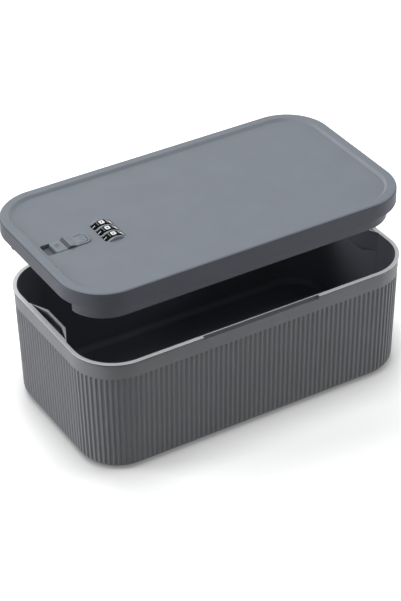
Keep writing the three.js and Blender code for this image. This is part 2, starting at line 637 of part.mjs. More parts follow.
function makeLidBase() {
  const plug = loft([
    { outline: lidOutline(PLUG_INSET + PLUG_DRAFT + PLUG_EDGE), z: -PLUG_DEPTH },
    { outline: lidOutline(PLUG_INSET + PLUG_DRAFT), z: -PLUG_DEPTH + PLUG_EDGE },
    { outline: lidOutline(PLUG_INSET), z: 0 },
    { outline: lidOutline(PLUG_INSET), z: FLANGE_THICKNESS },
  ]);
  const flange = prism(lidOutline(SKIRT_WALL + GAP), 0, FLANGE_THICKNESS);
  const inside = loft([
    { outline: lidOutline(PLUG_INSET + PLUG_DRAFT + PLUG_WALL), z: FLOOR_TOP },
    { outline: lidOutline(PLUG_INSET + PLUG_WALL), z: FLANGE_THICKNESS + PAST },
  ]);
  const bayWalls = bothEnds(prism(bayOutline(PLUG_WALL, LID_HALF_LENGTH), -PLUG_DEPTH, FLANGE_THICKNESS))
    .map((wall) => wall.intersect(join(plug, flange)));
  const bays = bothEnds(prism(bayOutline(0, LID_HALF_LENGTH + PAST), -PLUG_DEPTH - PAST, 0));
  const boltHoles = bothEnds(box(
    [LEG_X, -BOLT_WIDTH / 2 - SLIDE_GAP, BOLT_BOTTOM - SLIDE_GAP],
    [BAY_X + PAST, BOLT_WIDTH / 2 + SLIDE_GAP, BOLT_TOP + SLIDE_GAP],
  ));
  const rests = [...PALM_RIBS, ...ARM_RIBS, ...RIGHT_BAR_RIBS].map((place) =>
    rib(place, FLOOR_TOP - PAST, BAR_BOTTOM - GAP));
  const bosses = BASE_SCREWS.map(([x, y]) => post(x, y, BOSS_RADIUS, FLOOR_TOP - PAST, -GAP / 2));
  const screwHoles = BASE_SCREWS.flatMap(([x, y]) => [
    post(x, y, SCREW_HOLE, -PLUG_DEPTH - PAST, PAST, HOLE_STEPS),
    post(x, y, SCREW_HEAD + GAP, -PLUG_DEPTH - PAST, BASE_SCREW_SEAT + GAP),
  ]);
  const pinionBoss = post(PINION_X, PINION_Y, BOSS_RADIUS, FLOOR_TOP - PAST, BAR_BOTTOM - GAP);
  const pinionHole = post(PINION_X, PINION_Y, SCREW_HOLE, -PIN_LENGTH - PAST, BAR_BOTTOM, HOLE_STEPS);
  const leverHalf = LEVER_THICKNESS / 2;
  const resetSlot = box(
    [DIAL_X - LEVER_FOOT / 2 - 2 * GAP, LEVER_Y - leverHalf - 2 * GAP, -PLUG_DEPTH - PAST],
    [DIAL_X + LEVER_FOOT / 2 + 2 * GAP, LEVER_Y + leverHalf + RESET_TRAVEL + 2 * GAP, FLOOR_TOP + PAST],
  );
  const body = join(cut(join(plug, flange), inside), bayWalls, bosses, rests, pinionBoss);
  return cut(body, bays, boltHoles, screwHoles, pinionHole, resetSlot);
}

function makeThumbSlider() {
  const halfWidth = SLOT_WIDTH / 2 - SLIDE_GAP;
  const flangeTop = PANEL_UNDER - SLIDE_GAP;
  const button = prism(
    slotOutline(SLIDER_LEFT, SLIDER_RIGHT, halfWidth, SLOT_LEFT_RADIUS, SLOT_RIGHT_RADIUS - SLIDE_GAP),
    flangeTop - PAST, SLIDER_CREST,
  );
  const stepX = SLIDER_LEFT + SLIDER_STEP;
  const rightEnd = REBATE_RIGHT - SLIDE_GAP;
  const overhang = prism(
    slotOutline(stepX, rightEnd, halfWidth, SLOT_LEFT_RADIUS, SLOT_RIGHT_RADIUS - SLIDE_GAP),
    REBATE_FLOOR + GAP, SLIDER_CREST,
  );
  const flange = box(
    [SLIDER_FLANGE_LEFT, -halfWidth - SLIDER_FLANGE, flangeTop - SLIDER_FLANGE_THICKNESS],
    [SLIDER_FLANGE_RIGHT, halfWidth + SLIDER_FLANGE, flangeTop],
  );
  const stem = box(
    [STEM_X - STEM_LENGTH / 2, -STEM_WIDTH / 2, STEM_BOTTOM],
    [STEM_X + STEM_LENGTH / 2, STEM_WIDTH / 2, flangeTop - PAST],
  );
  // What stands above the low pad, the ridge at the step and the high pad
  const above = crossPrism(points(
    [SLIDER_LEFT - PAST, SLIDER_CREST + PAST],
    [SLIDER_LEFT - PAST, SLIDER_PAD],
    [stepX - SLIDER_SLOPE, SLIDER_PAD],
    [stepX, SLIDER_CREST],
    [stepX + SLIDER_CREST_RUN, SLIDER_TOP],
    [rightEnd + PAST, SLIDER_TOP],
    [rightEnd + PAST, SLIDER_CREST + PAST],
  ), -SLOT_WIDTH, SLOT_WIDTH);
  const scoop = new THREE.SphereGeometry(SLIDER_SCOOP_RADIUS, 36, 28);
  scoop.translate(
    (SLIDER_LEFT + stepX - SLIDER_SLOPE) / 2, 0, SLIDER_PAD + SLIDER_SCOOP_RADIUS - SLIDER_SCOOP,
  );
  const holes = SLIDER_SCREWS.map(([x, y]) =>
    post(x, y, SCREW_HOLE, STEM_BOTTOM - PAST, flangeTop - SCREW_CLEARANCE, HOLE_STEPS));
  return cut(join(button, overhang, flange, stem), above, solid(scoop), holes);
}

// Straight-sided rack teeth along a bar's edge: side is 1 where they point to +Y
function rackTeeth(edge, side, from, to) {
  const pitch = Math.PI * PINION_MODULE;
  const slope = Math.tan(PRESSURE_ANGLE);
  const half = pitch / 4 - BACKLASH / 2;
  const foot = half + DEDENDUM * slope;
  const crown = half - ADDENDUM * slope;
  const first = Math.ceil((from - PINION_X) / pitch);
  const last = Math.floor((to - PINION_X) / pitch);
  return Array.from({ length: last - first }, (_, k) => {
    const x = PINION_X + (first + k + 0.5) * pitch;
    return prism(points(
      [x - foot, edge - side * PAST],
      [x - foot, edge],
      [x - crown, edge + side * (DEDENDUM + ADDENDUM)],
      [x + crown, edge + side * (DEDENDUM + ADDENDUM)],
      [x + foot, edge],
      [x + foot, edge - side * PAST],
    ), BAR_BOTTOM, BAR_TOP);
  });
}

// Leg and tongue of the right-hand bolt, bent down from the bar
function boltTongue() {
  return crossPrism(points(
    [LEG_X - BAR_LEG, BAR_TOP],
    [LEG_X - BAR_LEG, BOLT_BOTTOM],
    [BAY_X - BOLT_EDGE, BOLT_BOTTOM],
    [BAY_X, BOLT_BOTTOM + BOLT_EDGE],
    [BAY_X, BOLT_TOP],
    [LEG_X, BOLT_TOP],
    [LEG_X, BAR_TOP],
  ), -BOLT_WIDTH / 2, BOLT_WIDTH / 2);
}

// Stamped plate with the left bolt, the slider's seat, a fence finger for each dial and a rack
function makeLeftBar() {
  const palmFront = ROW[DIAL_COUNT - 1] - DIAL_WIDTH / 2 - FINGER_TO_DIAL - 2 * FINGER_WIDTH;
  const plate = prism(points(
    [-LEG_X, -BOLT_WIDTH / 2],
    [PALM_LEFT, -BOLT_WIDTH / 2],
    [PALM_LEFT, palmFront],
    [PALM_RIGHT, palmFront],
    [PALM_RIGHT, ARM_Y],
    [PINION_X + RACK_REACH, ARM_Y],
    [PINION_X + RACK_REACH, ARM_Y + ARM_WIDTH],
    [PALM_LEFT, ARM_Y + ARM_WIDTH],
    [PALM_LEFT, BOLT_WIDTH / 2],
    [-LEG_X, BOLT_WIDTH / 2],
  ), BAR_BOTTOM, BAR_TOP);
  const fingerRight = DIAL_X - FENCE_INNER;
  const fingers = ROW.map((y) => {
    const back = y - DIAL_WIDTH / 2 - FINGER_TO_DIAL;
    return prism(points(
      [PALM_RIGHT - PAST, back - FINGER_WIDTH],
      [fingerRight, back - FINGER_WIDTH],
      [fingerRight, back + FENCE_REACH],
      [fingerRight - FENCE_TOOTH, back + FENCE_REACH],
      [fingerRight - FENCE_TOOTH, back],
      [PALM_RIGHT - PAST, back],
    ), BAR_BOTTOM, BAR_TOP);
  });
  const teeth = rackTeeth(ARM_Y, -1, PINION_X - BOLT_TRAVEL, PINION_X + RACK_REACH);
  const holes = SLIDER_SCREWS.map(([x, y]) =>
    post(x, y, SCREW_HOLE, BAR_BOTTOM - PAST, BAR_TOP + PAST, HOLE_STEPS));
  return cut(join(plate, fingers, teeth, otherEnd(boltTongue())), holes);
}

// Stamped bar with the right bolt, driven the other way by its rack
function makeRightBar() {
  const bar = box(
    [PINION_X - RACK_REACH, -RIGHT_BAR_HALF, BAR_BOTTOM],
    [LEG_X, RIGHT_BAR_HALF, BAR_TOP],
  );
  const shoulder = prism(points(
    [LEG_X - SHOULDER_LENGTH - PAST, -RIGHT_BAR_HALF],
    [LEG_X - SHOULDER_LENGTH, -BOLT_WIDTH / 2],
    [LEG_X, -BOLT_WIDTH / 2],
    [LEG_X, BOLT_WIDTH / 2],
    [LEG_X - SHOULDER_LENGTH, BOLT_WIDTH / 2],
    [LEG_X - SHOULDER_LENGTH - PAST, RIGHT_BAR_HALF],
  ), BAR_BOTTOM, BAR_TOP);
  const teeth = rackTeeth(RIGHT_BAR_HALF, 1, PINION_X - RACK_REACH, PINION_X + BOLT_TRAVEL);
  return join(bar, shoulder, boltTongue(), teeth);
}

// Involute pinion, thinned by its share of the backlash
function makePinion() {
  const base = PITCH_RADIUS * Math.cos(PRESSURE_ANGLE);
  const root = PITCH_RADIUS - DEDENDUM;
  const tip = PITCH_RADIUS + ADDENDUM;
  const involute = (radius) => {
    const angle = Math.acos(Math.min(1, base / radius));
    return Math.tan(angle) - angle;
  };
  const halfAtPitch = Math.PI / (2 * PINION_TEETH) - BACKLASH / (4 * PITCH_RADIUS);
  const halfAt = (radius) => halfAtPitch + involute(PITCH_RADIUS) - involute(Math.max(radius, base));
  const radii = [root, base, PITCH_RADIUS, tip];
  const outline = [];
  const place = (radius, angle) =>
    outline.push(new THREE.Vector2(radius * Math.cos(angle), radius * Math.sin(angle)));
  for (let k = 0; k < PINION_TEETH; k++) {
    const middle = k * 2 * Math.PI / PINION_TEETH;
    for (const radius of radii) place(radius, middle - halfAt(radius));
    for (const radius of radii.slice().reverse()) place(radius, middle + halfAt(radius));
  }
  const wheel = prism(outline, BAR_BOTTOM, BAR_TOP);
  return cut(wheel, post(0, 0, SPINDLE_RADIUS + GAP, BAR_BOTTOM - PAST, BAR_TOP + PAST));
}

// Turned piece about the upright axis, from its profile of radius and height
function turned(profile, steps = HOLE_STEPS) {
  const geometry = new THREE.LatheGeometry(points(...profile), steps);
  geometry.rotateX(Math.PI / 2);
  return solid(geometry);
}

// Screw driven upwards, its head's underside at zero
const makeScrew = (length) => turned([
  [0, -SCREW_HEAD_HEIGHT],
  [SCREW_HEAD * SCREW_HEAD_TAPER, -SCREW_HEAD_HEIGHT],
  [SCREW_HEAD, -SCREW_HEAD_HEIGHT * SCREW_HEAD_SIDE],
  [SCREW_HEAD, 0],
  [SCREW_SHANK, 0],
  [SCREW_SHANK, length - SCREW_SHANK],
  [0, length],
]);

// Shoulder pin that the pinion turns on, driven down into its boss
const makePinionPin = () => turned([
  [0, -PIN_LENGTH],
  [SCREW_SHANK, SCREW_SHANK - PIN_LENGTH],
  [SCREW_SHANK, BAR_BOTTOM],
  [SPINDLE_RADIUS, BAR_BOTTOM],
  [SPINDLE_RADIUS, BAR_TOP + GAP],
  [2 * SPINDLE_RADIUS, BAR_TOP + GAP],
  [2 * SPINDLE_RADIUS, BAR_TOP + SCREW_HEAD_HEIGHT],
  [0, BAR_TOP + SCREW_HEAD_HEIGHT],
], ROUND_STEPS);

// Number wheel about its own centre, with a flat for each number
function makeDial() {
  const half = DIAL_WIDTH / 2;
  const sector = 2 * Math.PI / DIAL_FLATS;
  const flat = DIAL_RADIUS - DIAL_FLAT_DEPTH;
  const stations = [
    [-DIAL_RIDGE_SHARE, DIAL_RADIUS],
    [-DIAL_FLAT_SHARE, flat],
    [0, flat],
    [DIAL_FLAT_SHARE, flat],
    [DIAL_RIDGE_SHARE, DIAL_RADIUS],
  ];
  const outline = [];
  for (let k = 0; k < DIAL_FLATS; k++) {
    const middle = Math.PI / 2 + k * sector;
    for (const [share, radius] of stations) {
      const angle = middle + share * sector;
      outline.push(new THREE.Vector2(radius * Math.cos(angle), radius * Math.sin(angle)));
    }
  }
  const ring = crossPrism(outline, -half, half);
  const notch = GATE_RIM_OUTER + CLUTCH_TOOTH + GAP;
  const clutchFront = SLEEVE_FRONT;
  const clutchBack = SLEEVE_FRONT + SLEEVE_FLANGE;
  const hollows = [
    barrel(0, 0, FENCE_BORE, -half - PAST, clutchFront, BORE_STEPS),
    barrel(0, 0, GATE_RIM_OUTER + GAP, clutchFront - PAST, clutchBack + PAST, BORE_STEPS),
    barrel(0, 0, notch + GAP, clutchBack, half + PAST, BORE_STEPS),
    ...clutchTeeth(notch, CLUTCH_TOOTH_WIDTH / 2 + GAP, clutchFront, clutchBack),
  ];
  return cut(ring, hollows);
}

// Radial bars set round the cross axis, one for each number
function clutchTeeth(reach, halfWidth, y0, y1) {
  return Array.from({ length: DIAL_FLATS / 2 }, (_, k) => {
    const geometry = new THREE.BoxGeometry(2 * reach, y1 - y0, 2 * halfWidth);
    geometry.translate(0, (y0 + y1) / 2, 0);
    geometry.rotateY(k * 2 * Math.PI / DIAL_FLATS);
    return solid(geometry);
  });
}

// Sleeve about its own centre: a gated rim, the toothed flange and a hub
function makeSleeve() {
  const flangeBack = SLEEVE_FRONT + SLEEVE_FLANGE;
  const rimFront = SLEEVE_FRONT - GATE_RIM_DEPTH;
  const drum = barrel(0, 0, GATE_RIM_OUTER, rimFront, flangeBack, BORE_STEPS);
  const reach = GATE_RIM_OUTER + CLUTCH_TOOTH;
  const teeth = clutchTeeth(reach, CLUTCH_TOOTH_WIDTH / 2, SLEEVE_FRONT, flangeBack - GAP);
  const hub = barrel(0, 0, SLEEVE_HUB_RADIUS, SLEEVE_FRONT, flangeBack + SLEEVE_HUB);
  const cup = barrel(0, 0, GATE_RIM_INNER, rimFront - PAST, SLEEVE_FRONT, BORE_STEPS);
  const gateHalf = BAR_THICKNESS / 2 + SLIDE_GAP;
  const gate = box([-GATE_RIM_OUTER - PAST, rimFront - PAST, -gateHalf], [0, SLEEVE_FRONT, gateHalf]);
  const bore = barrel(0, 0, SPINDLE_RADIUS + GAP, rimFront - PAST, flangeBack + SLEEVE_HUB + PAST);
  return cut(join(drum, teeth, hub), cup, gate, bore);
}

// Case that carries the spindle: two cheeks, a wall behind the dials and three screw ears
function makeLockCase() {
  const top = PANEL_UNDER - GAP;
  const low = -CASE_DROP;
  const right = CASE_WALL_X + CHEEK_THICKNESS;
  const front = box([CASE_LEFT, CHEEK_FRONT - CHEEK_THICKNESS, low], [right, CHEEK_FRONT, top]);
  const back = box([CASE_LEFT, CHEEK_BACK, low], [right, CHEEK_BACK + CHEEK_THICKNESS, top]);
  const wall = box([CASE_WALL_X, CHEEK_FRONT - PAST, low], [right, CHEEK_BACK + PAST, top]);
  const ears = CASE_SCREWS.map(([x, y]) => {
    const inward = x > right ? [right - PAST, y - EAR_RADIUS] : [x - EAR_RADIUS, y];
    const outward = x > right ? [x, y + EAR_RADIUS] : [x + EAR_RADIUS, CHEEK_FRONT - PAST];
    return join(
      post(x, y, EAR_RADIUS, EAR_BOTTOM, EAR_TOP),
      box([...inward, EAR_BOTTOM], [...outward, EAR_TOP]),
    );
  });
  const bore = barrel(
    DIAL_X, DIAL_Z, SPINDLE_RADIUS + GAP,
    CHEEK_FRONT - CHEEK_THICKNESS - PAST, CHEEK_BACK + CHEEK_THICKNESS + PAST,
  );
  const holes = CASE_SCREWS.map(([x, y]) =>
    post(x, y, SCREW_HOLE, EAR_BOTTOM - PAST, EAR_TOP + PAST, HOLE_STEPS));
  return cut(join(front, back, wall, ears), bore, holes);
}

// Strip of constant thickness along a run of x, z points
function strip(run, thickness) {
  const left = [];
  const right = [];
  run.forEach(([x, z], i) => {
    const before = run[Math.max(0, i - 1)];
    const after = run[Math.min(run.length - 1, i + 1)];
    const along = new THREE.Vector2(after[0] - before[0], after[1] - before[1]).normalize();
    left.push(new THREE.Vector2(x - along.y * thickness / 2, z + along.x * thickness / 2));
    right.unshift(new THREE.Vector2(x + along.y * thickness / 2, z - along.x * thickness / 2));
  });
  return [...left, ...right];
}

// Comb of leaf springs, one under each dial, on a back strip along the case's wall
function makeDetentSpring() {
  const x = CASE_WALL_X - GAP - LEAF_THICKNESS / 2;
  const touch = DIAL_RADIUS + GAP + LEAF_THICKNESS / 2;
  const at = (degrees, extra) => {
    const angle = THREE.MathUtils.degToRad(degrees);
    return [DIAL_X + (touch + extra) * Math.cos(angle), DIAL_Z + (touch + extra) * Math.sin(angle)];
  };
  const low = -CASE_DROP + LEAF_THICKNESS;
  const back = box(
    [x - LEAF_THICKNESS / 2, CHEEK_FRONT + GAP, low],
    [x + LEAF_THICKNESS / 2, CHEEK_BACK - GAP, DIAL_Z + LEAF_WIDTH],
  );
  const leaf = strip([
    [x, DIAL_Z],
    [x, low + LEAF_THICKNESS],
    at(-40, 2 * GAP),
    at(-50, 0),
    at(-58, 2 * GAP),
  ], LEAF_THICKNESS);
  return join(back, ROW.map((y) => crossPrism(leaf, y - LEAF_WIDTH / 2, y + LEAF_WIDTH / 2)));
}

function makeSpindle() {
  return barrel(0, 0, SPINDLE_RADIUS, COLLAR_Y + GAP, CHEEK_BACK + CHEEK_THICKNESS + SPINDLE_END);
}

// Lever under the lid: an upright plate against the spindle's end, with a foot
function makeResetLever() {
  const half = LEVER_THICKNESS / 2;
  const low = FLOOR_TOP + SLIDE_GAP;
  const plate = box([-LEVER_WIDTH / 2, -half, low], [LEVER_WIDTH / 2, half, DIAL_Z + LEVER_WIDTH / 2]);
  const foot = box([-LEVER_FOOT / 2, -half, -PLUG_DEPTH + GAP], [LEVER_FOOT / 2, half, low + PAST]);
  return join(plate, foot);
}

// Compression spring round the spindle, between the front cheek and the lever
function springGeometry() {
  const wire = SPRING_WIRE / 2;
  const stepsPerTurn = 8;
  const sides = 4;
  const coil = SPINDLE_RADIUS + 2 * SPRING_WIRE;
  const start = COLLAR_Y + GAP + wire;
  const length = SPRING_LENGTH - 2 * GAP - SPRING_WIRE;
  class Helix extends THREE.Curve {
    getPoint(t, target = new THREE.Vector3()) {
      const angle = t * SPRING_TURNS * 2 * Math.PI;
      return target.set(coil * Math.cos(angle), start + t * length, coil * Math.sin(angle));
    }
  }
  const section = new THREE.Shape(Array.from({ length: sides }, (_, k) => {
    const angle = k * 2 * Math.PI / sides;
    return new THREE.Vector2(wire * Math.cos(angle), wire * Math.sin(angle));
  }));
  return new THREE.ExtrudeGeometry(section, {
    steps: SPRING_TURNS * stepsPerTurn, bevelEnabled: false, extrudePath: new Helix(),
  });
}

const lockBox = new THREE.Group();
const lid = new THREE.Group();
lid.position.set(-LID_LEAN, 0, TUB_HEIGHT + GAP + LID_LIFT);
lockBox.add(lid);

// Adds a named piece to a group at a place
function add(group, name, geometry, material, x = 0, y = 0, z = 0) {
  const mesh = new THREE.Mesh(geometry, material);
  mesh.name = name;
  mesh.position.set(x, y, z);
  group.add(mesh);
}

add(lockBox, 'tub', geometryOf(makeTub()), TUB_GREY);
add(lid, 'lid_shell', geometryOf(makeLidShell()), LID_GREY);
add(lid, 'lid_base', geometryOf(makeLidBase()), BASE_GREY);
add(lid, 'lock_case', geometryOf(makeLockCase()), CASE_BLACK);
add(lid, 'detent_spring', geometryOf(makeDetentSpring()), SPRING_STEEL);
add(lid, 'thumb_slider', geometryOf(makeThumbSlider()), SLIDER_GREY);
add(lid, 'bolt_bar_left', geometryOf(makeLeftBar()), ZINC_STEEL);
add(lid, 'bolt_bar_right', geometryOf(makeRightBar()), ZINC_STEEL);
add(lid, 'bolt_pinion', geometryOf(makePinion()), BRASS, PINION_X, PINION_Y);
add(lid, 'pinion_pin', geometryOf(makePinionPin()), ZINC_STEEL, PINION_X, PINION_Y);
add(lid, 'dial_spindle', geometryOf(makeSpindle()), ZINC_STEEL, DIAL_X, 0, DIAL_Z);
add(lid, 'reset_lever', geometryOf(makeResetLever()), CASE_BLACK, DIAL_X, LEVER_Y);
add(lid, 'reset_spring', springGeometry(), SPRING_STEEL, DIAL_X, 0, DIAL_Z);
ROW.forEach((y, i) => {
  add(lid, `dial_wheel_${i + 1}`, geometryOf(makeDial()), DIAL_BLACK, DIAL_X, y, DIAL_Z);
  add(lid, `code_sleeve_${i + 1}`, geometryOf(makeSleeve()), BRASS, DIAL_X, y, DIAL_Z);
});
BASE_SCREWS.forEach(([x, y], i) => {
  const screw = geometryOf(makeScrew(BASE_SCREW_LENGTH));
  add(lid, `base_screw_${i + 1}`, screw, ZINC_STEEL, x, y, BASE_SCREW_SEAT);
});
CASE_SCREWS.forEach(([x, y], i) => {
  const screw = geometryOf(makeScrew(CASE_SCREW_LENGTH));
  add(lid, `case_screw_${i + 1}`, screw, ZINC_STEEL, x, y, EAR_BOTTOM - GAP);
});
SLIDER_SCREWS.forEach(([x, y], i) => {
  const screw = geometryOf(makeScrew(SLIDER_SCREW_LENGTH));
  add(lid, `slider_screw_${i + 1}`, screw, ZINC_STEEL, x, y, BAR_BOTTOM - GAP);
});

export default lockBox;
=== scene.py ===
import math

import bmesh
import bpy
from mathutils import Matrix, Vector


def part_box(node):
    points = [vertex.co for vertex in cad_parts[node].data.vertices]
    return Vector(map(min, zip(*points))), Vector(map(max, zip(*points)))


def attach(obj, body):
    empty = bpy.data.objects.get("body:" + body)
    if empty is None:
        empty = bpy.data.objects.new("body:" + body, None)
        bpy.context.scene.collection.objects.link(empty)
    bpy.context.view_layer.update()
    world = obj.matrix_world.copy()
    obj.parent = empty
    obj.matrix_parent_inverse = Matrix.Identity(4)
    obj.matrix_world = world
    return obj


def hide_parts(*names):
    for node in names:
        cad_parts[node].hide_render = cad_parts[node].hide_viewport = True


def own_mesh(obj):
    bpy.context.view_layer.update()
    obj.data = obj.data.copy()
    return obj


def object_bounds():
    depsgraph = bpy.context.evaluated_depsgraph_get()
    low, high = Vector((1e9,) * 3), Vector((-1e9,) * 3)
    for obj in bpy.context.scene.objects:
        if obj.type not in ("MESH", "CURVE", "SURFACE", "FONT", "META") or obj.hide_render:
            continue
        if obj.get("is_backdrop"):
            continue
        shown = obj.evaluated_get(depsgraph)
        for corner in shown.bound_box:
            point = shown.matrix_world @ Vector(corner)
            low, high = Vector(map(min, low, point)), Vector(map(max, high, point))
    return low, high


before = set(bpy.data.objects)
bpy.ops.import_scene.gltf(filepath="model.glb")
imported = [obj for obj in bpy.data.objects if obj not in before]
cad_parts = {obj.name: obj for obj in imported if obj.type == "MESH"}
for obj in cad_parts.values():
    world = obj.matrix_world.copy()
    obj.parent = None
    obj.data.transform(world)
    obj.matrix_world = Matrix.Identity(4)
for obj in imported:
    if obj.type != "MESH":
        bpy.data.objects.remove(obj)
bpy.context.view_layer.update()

# Everything below is in millimetres until a mesh is made
MM = 0.001

# View of the photograph, fitted to the rims of tub and lid
IMAGE_WIDTH = 401
IMAGE_HEIGHT = 601
VIEW_AZIMUTH = math.radians(-30.779)
VIEW_ELEVATION = math.radians(34.636)
VIEW_ROLL = math.radians(-0.78)
VIEW_DISTANCE = 1.612533
VIEW_HEIGHT = 0.060
FOCAL_PIXELS = 2100
CENTRE_X = 208.214
CENTRE_Y = 308.25
SENSOR = 36

# Tub
TUB_HALF_LENGTH = 140
TUB_HALF_WIDTH = 77.5
TUB_HEIGHT = 98
TUB_CORNER = 36
TUB_DRAFT = 2.5
TUB_FLOOR = 3
FOOT_RADIUS = 9
INNER_FOOT_RADIUS = 5
RIM_WIDTH = 3.2
RIM_PROUD = 0.6
RIM_HEIGHT = 0.8
RIM_EDGE = 0.35
UNDERCUT_DEPTH = 0.3
UNDERCUT_HEIGHT = 0.8
BAND_HEIGHT = 13.5
FLUTE_COUNT = 192
FLUTE_RADIUS = 1.3
FLUTE_DEPTH = 1.1
NOTCH_HALF = 50
NOTCH_HEIGHT = 3.6
NOTCH_DEPTH = 2

# Keeper pockets in the end walls: half plans as x, y at each corner
POCKET_WALL_X = 136
POCKET_REACH = 7
POCKET_BASE = 30
POCKET_FACE = 13.5
POCKET_WALL = 2
POCKET_DEPTH = 15
POCKET_TAPER = 9
POCKET_SPREAD = 1.2
POCKET_NARROWING = 0.55
WINDOW_HALF = 7.5
WINDOW_LOW = 89.8
WINDOW_HIGH = 93.2

# Lid, measured from the underside of its cover
LID_PLACE = (-6, 0, 148.8)
LID_HALF_LENGTH = 140.5
LID_HALF_WIDTH = 78
LID_CORNER = 36.5
LID_HEIGHT = 12.5
LID_EDGE = 2.2
LID_FOOT_EDGE = 0.3
BORDER_FROM = 7.0
BORDER_TO = 9.6
PANEL_TOP = 10.5
PANEL_UNDER = 8
SKIRT_WALL = 2.5
SKIRT_FILLET = 1

# Base under the cover
PLUG_INSET = 6
PLUG_DRAFT = 0.6
PLUG_EDGE = 0.8
PLUG_BOTTOM = -12.5
PLUG_WALL = 2.2
FLOOR_TOP = -10.7
FLANGE_TOP = 1.8
FLANGE_INSET = 2.8
BAY_CLEARANCE = 2
BAY_FACE = POCKET_WALL_X - POCKET_REACH - BAY_CLEARANCE
BAY_HALF = 34
BAY_SLOPE = 2.1
BOLT_HOLE_HALF = 6.4
BOLT_HOLE_LOW = -8.3
BOLT_HOLE_HIGH = -5.3
BOLT_HOLE_DEPTH = 2.2

# Lock
DIAL_X = -78
DIAL_Z = 1.9
DIAL_ROW = (8.8, 0, -8.8)
DIAL_PITCH = 8.8
DIAL_RADIUS = 11.6
DIAL_HALF = 3
DIAL_FLATS = 10
DIAL_FLAT_DEPTH = 0.45
DIAL_BEVEL = 0.4
RIDGE_ZONE = 0.04
RIDGE_END = 0.3
FENCE_BORE = 9.9
SLEEVE_BORE = 8.0
CLUTCH_BORE = 9.4
CLUTCH_REACH = 9.1
CLUTCH_NOTCH_HALF = 1.1
CLUTCH_Y = (-0.5, 0.7)
WINDOW_RADIUS = 11.9
DIAL_WINDOW_HALF = 3.4
LIP_RADIUS = 10.8
LIP_HALF = 1
LIP_EDGE = 0.3
SLOT_LEFT = -130
SLOT_RIGHT = -96
SLOT_HALF = 7.2
SLOT_LEFT_RADIUS = 1.5
SLOT_RIGHT_RADIUS = 5
REBATE_LEFT = -108
REBATE_RIGHT = -93.2
REBATE_FLOOR = 9.1
SLIDER_LEFT = -122.8
SLIDER_RIGHT = -96.4
SLIDER_END = -93.6
SLIDER_HALF = 6.95
SLIDER_TOP = 11.3
SLIDER_PAD = 11
SLIDER_CREST = 12.8
SLIDER_STEP = -111.5
SLIDER_CREST_RUN = 6.4
OVERHANG_BOTTOM = 9.4
FLANGE_Z = (5.2, 7.6)
SLIDER_FLANGE_X = (-131.6, -90)
SLIDER_FLANGE_HALF = 8.8

PAST = 1
CORNER_STEPS = 24


def outline(half_length, half_width, radius, steps=CORNER_STEPS):
    """Rounded rectangle about the origin, counterclockwise."""
    loop = []
    for quarter in range(4):
        side = 1 if quarter in (0, 3) else -1
        end = 1 if quarter < 2 else -1
        for k in range(steps + 1):
            angle = (quarter + k / steps) * math.pi / 2
            loop.append((
                side * (half_length - radius) + radius * math.cos(angle),
                end * (half_width - radius) + radius * math.sin(angle),
            ))
    return loop


def lid_outline(inset):
    return outline(LID_HALF_LENGTH - inset, LID_HALF_WIDTH - inset, LID_CORNER - inset)


def inset_at(x, y, half_length, half_width, corner):
    """Distance of a place from the outline of a rounded rectangle, inwards."""
    from_corner_x = max(0.0, abs(x) - (half_length - corner))
    from_corner_y = max(0.0, abs(y) - (half_width - corner))
    return corner - math.hypot(from_corner_x, from_corner_y)


def at_height(loop, z):
    return [(x, y, z) for x, y in loop]


def arc(count, start=0.0, end=90.0):
    """Sine and cosine at evenly spaced angles, both ends included."""
    for k in range(count + 1):
        angle = math.radians(start + (end - start) * k / count)
        yield math.sin(angle), math.cos(angle)


def eased(share):
    """Smooth step from 0 to 1."""
    share = min(1.0, max(0.0, share))
    return share * share * (3 - 2 * share)


def mesh_object(name, points, faces):
    mesh = bpy.data.meshes.new(name)
    mesh.from_pydata([tuple(c * MM for c in point) for point in points], [], faces)
    shape = bmesh.new()
    shape.from_mesh(mesh)
    bmesh.ops.recalc_face_normals(shape, faces=shape.faces)
    shape.to_mesh(mesh)
    shape.free()
    piece = bpy.data.objects.new(name, mesh)
    bpy.context.scene.collection.objects.link(piece)
    return piece


def loft(name, rings):
    """Closed skin through loops of equal length, with a flat cap at each end."""
    count = len(rings[0])
    points = [point for ring in rings for point in ring]
    faces = []
    for r in range(len(rings) - 1):
        for k in range(count):
            a = r * count + k
            b = r * count + (k + 1) % count
            faces.append((a, b, b + count, a + count))
    last = (len(rings) - 1) * count
    faces.append(tuple(reversed(range(count))))
    faces.append(tuple(range(last, last + count)))
    return mesh_object(name, points, faces)


def box(low, high):
    loop = [(low[0], low[1]), (high[0], low[1]), (high[0], high[1]), (low[0], high[1])]
    return loft("box", [at_height(loop, low[2]), at_height(loop, high[2])])


def prism(loop, z0, z1):
    return loft("prism", [at_height(loop, z0), at_height(loop, z1)])


def circle(x, y, radius, steps):
    return [
        (x + radius * math.cos(2 * math.pi * k / steps), y + radius * math.sin(2 * math.pi * k / steps))
        for k in range(steps)
    ]


def post(x, y, radius, z0, z1, steps=32):
    return prism(circle(x, y, radius, steps), z0, z1)


def barrel(x, z, stations, steps=96):
    """Solid of revolution across Y, from pairs of y and radius."""
    return loft("barrel", [
        [(px, y, pz) for px, pz in circle(x, z, radius, steps)] for y, radius in stations
    ])


def turned_half(piece):
    """Copy of a piece at the other end of the box."""
    twin = piece.copy()
    twin.data = piece.data.copy()
    twin.data.transform(Matrix.Rotation(math.pi, 4, "Z"))
    bpy.context.scene.collection.objects.link(twin)
    return twin


def both_ends(piece):
    return [piece, turned_half(piece)]


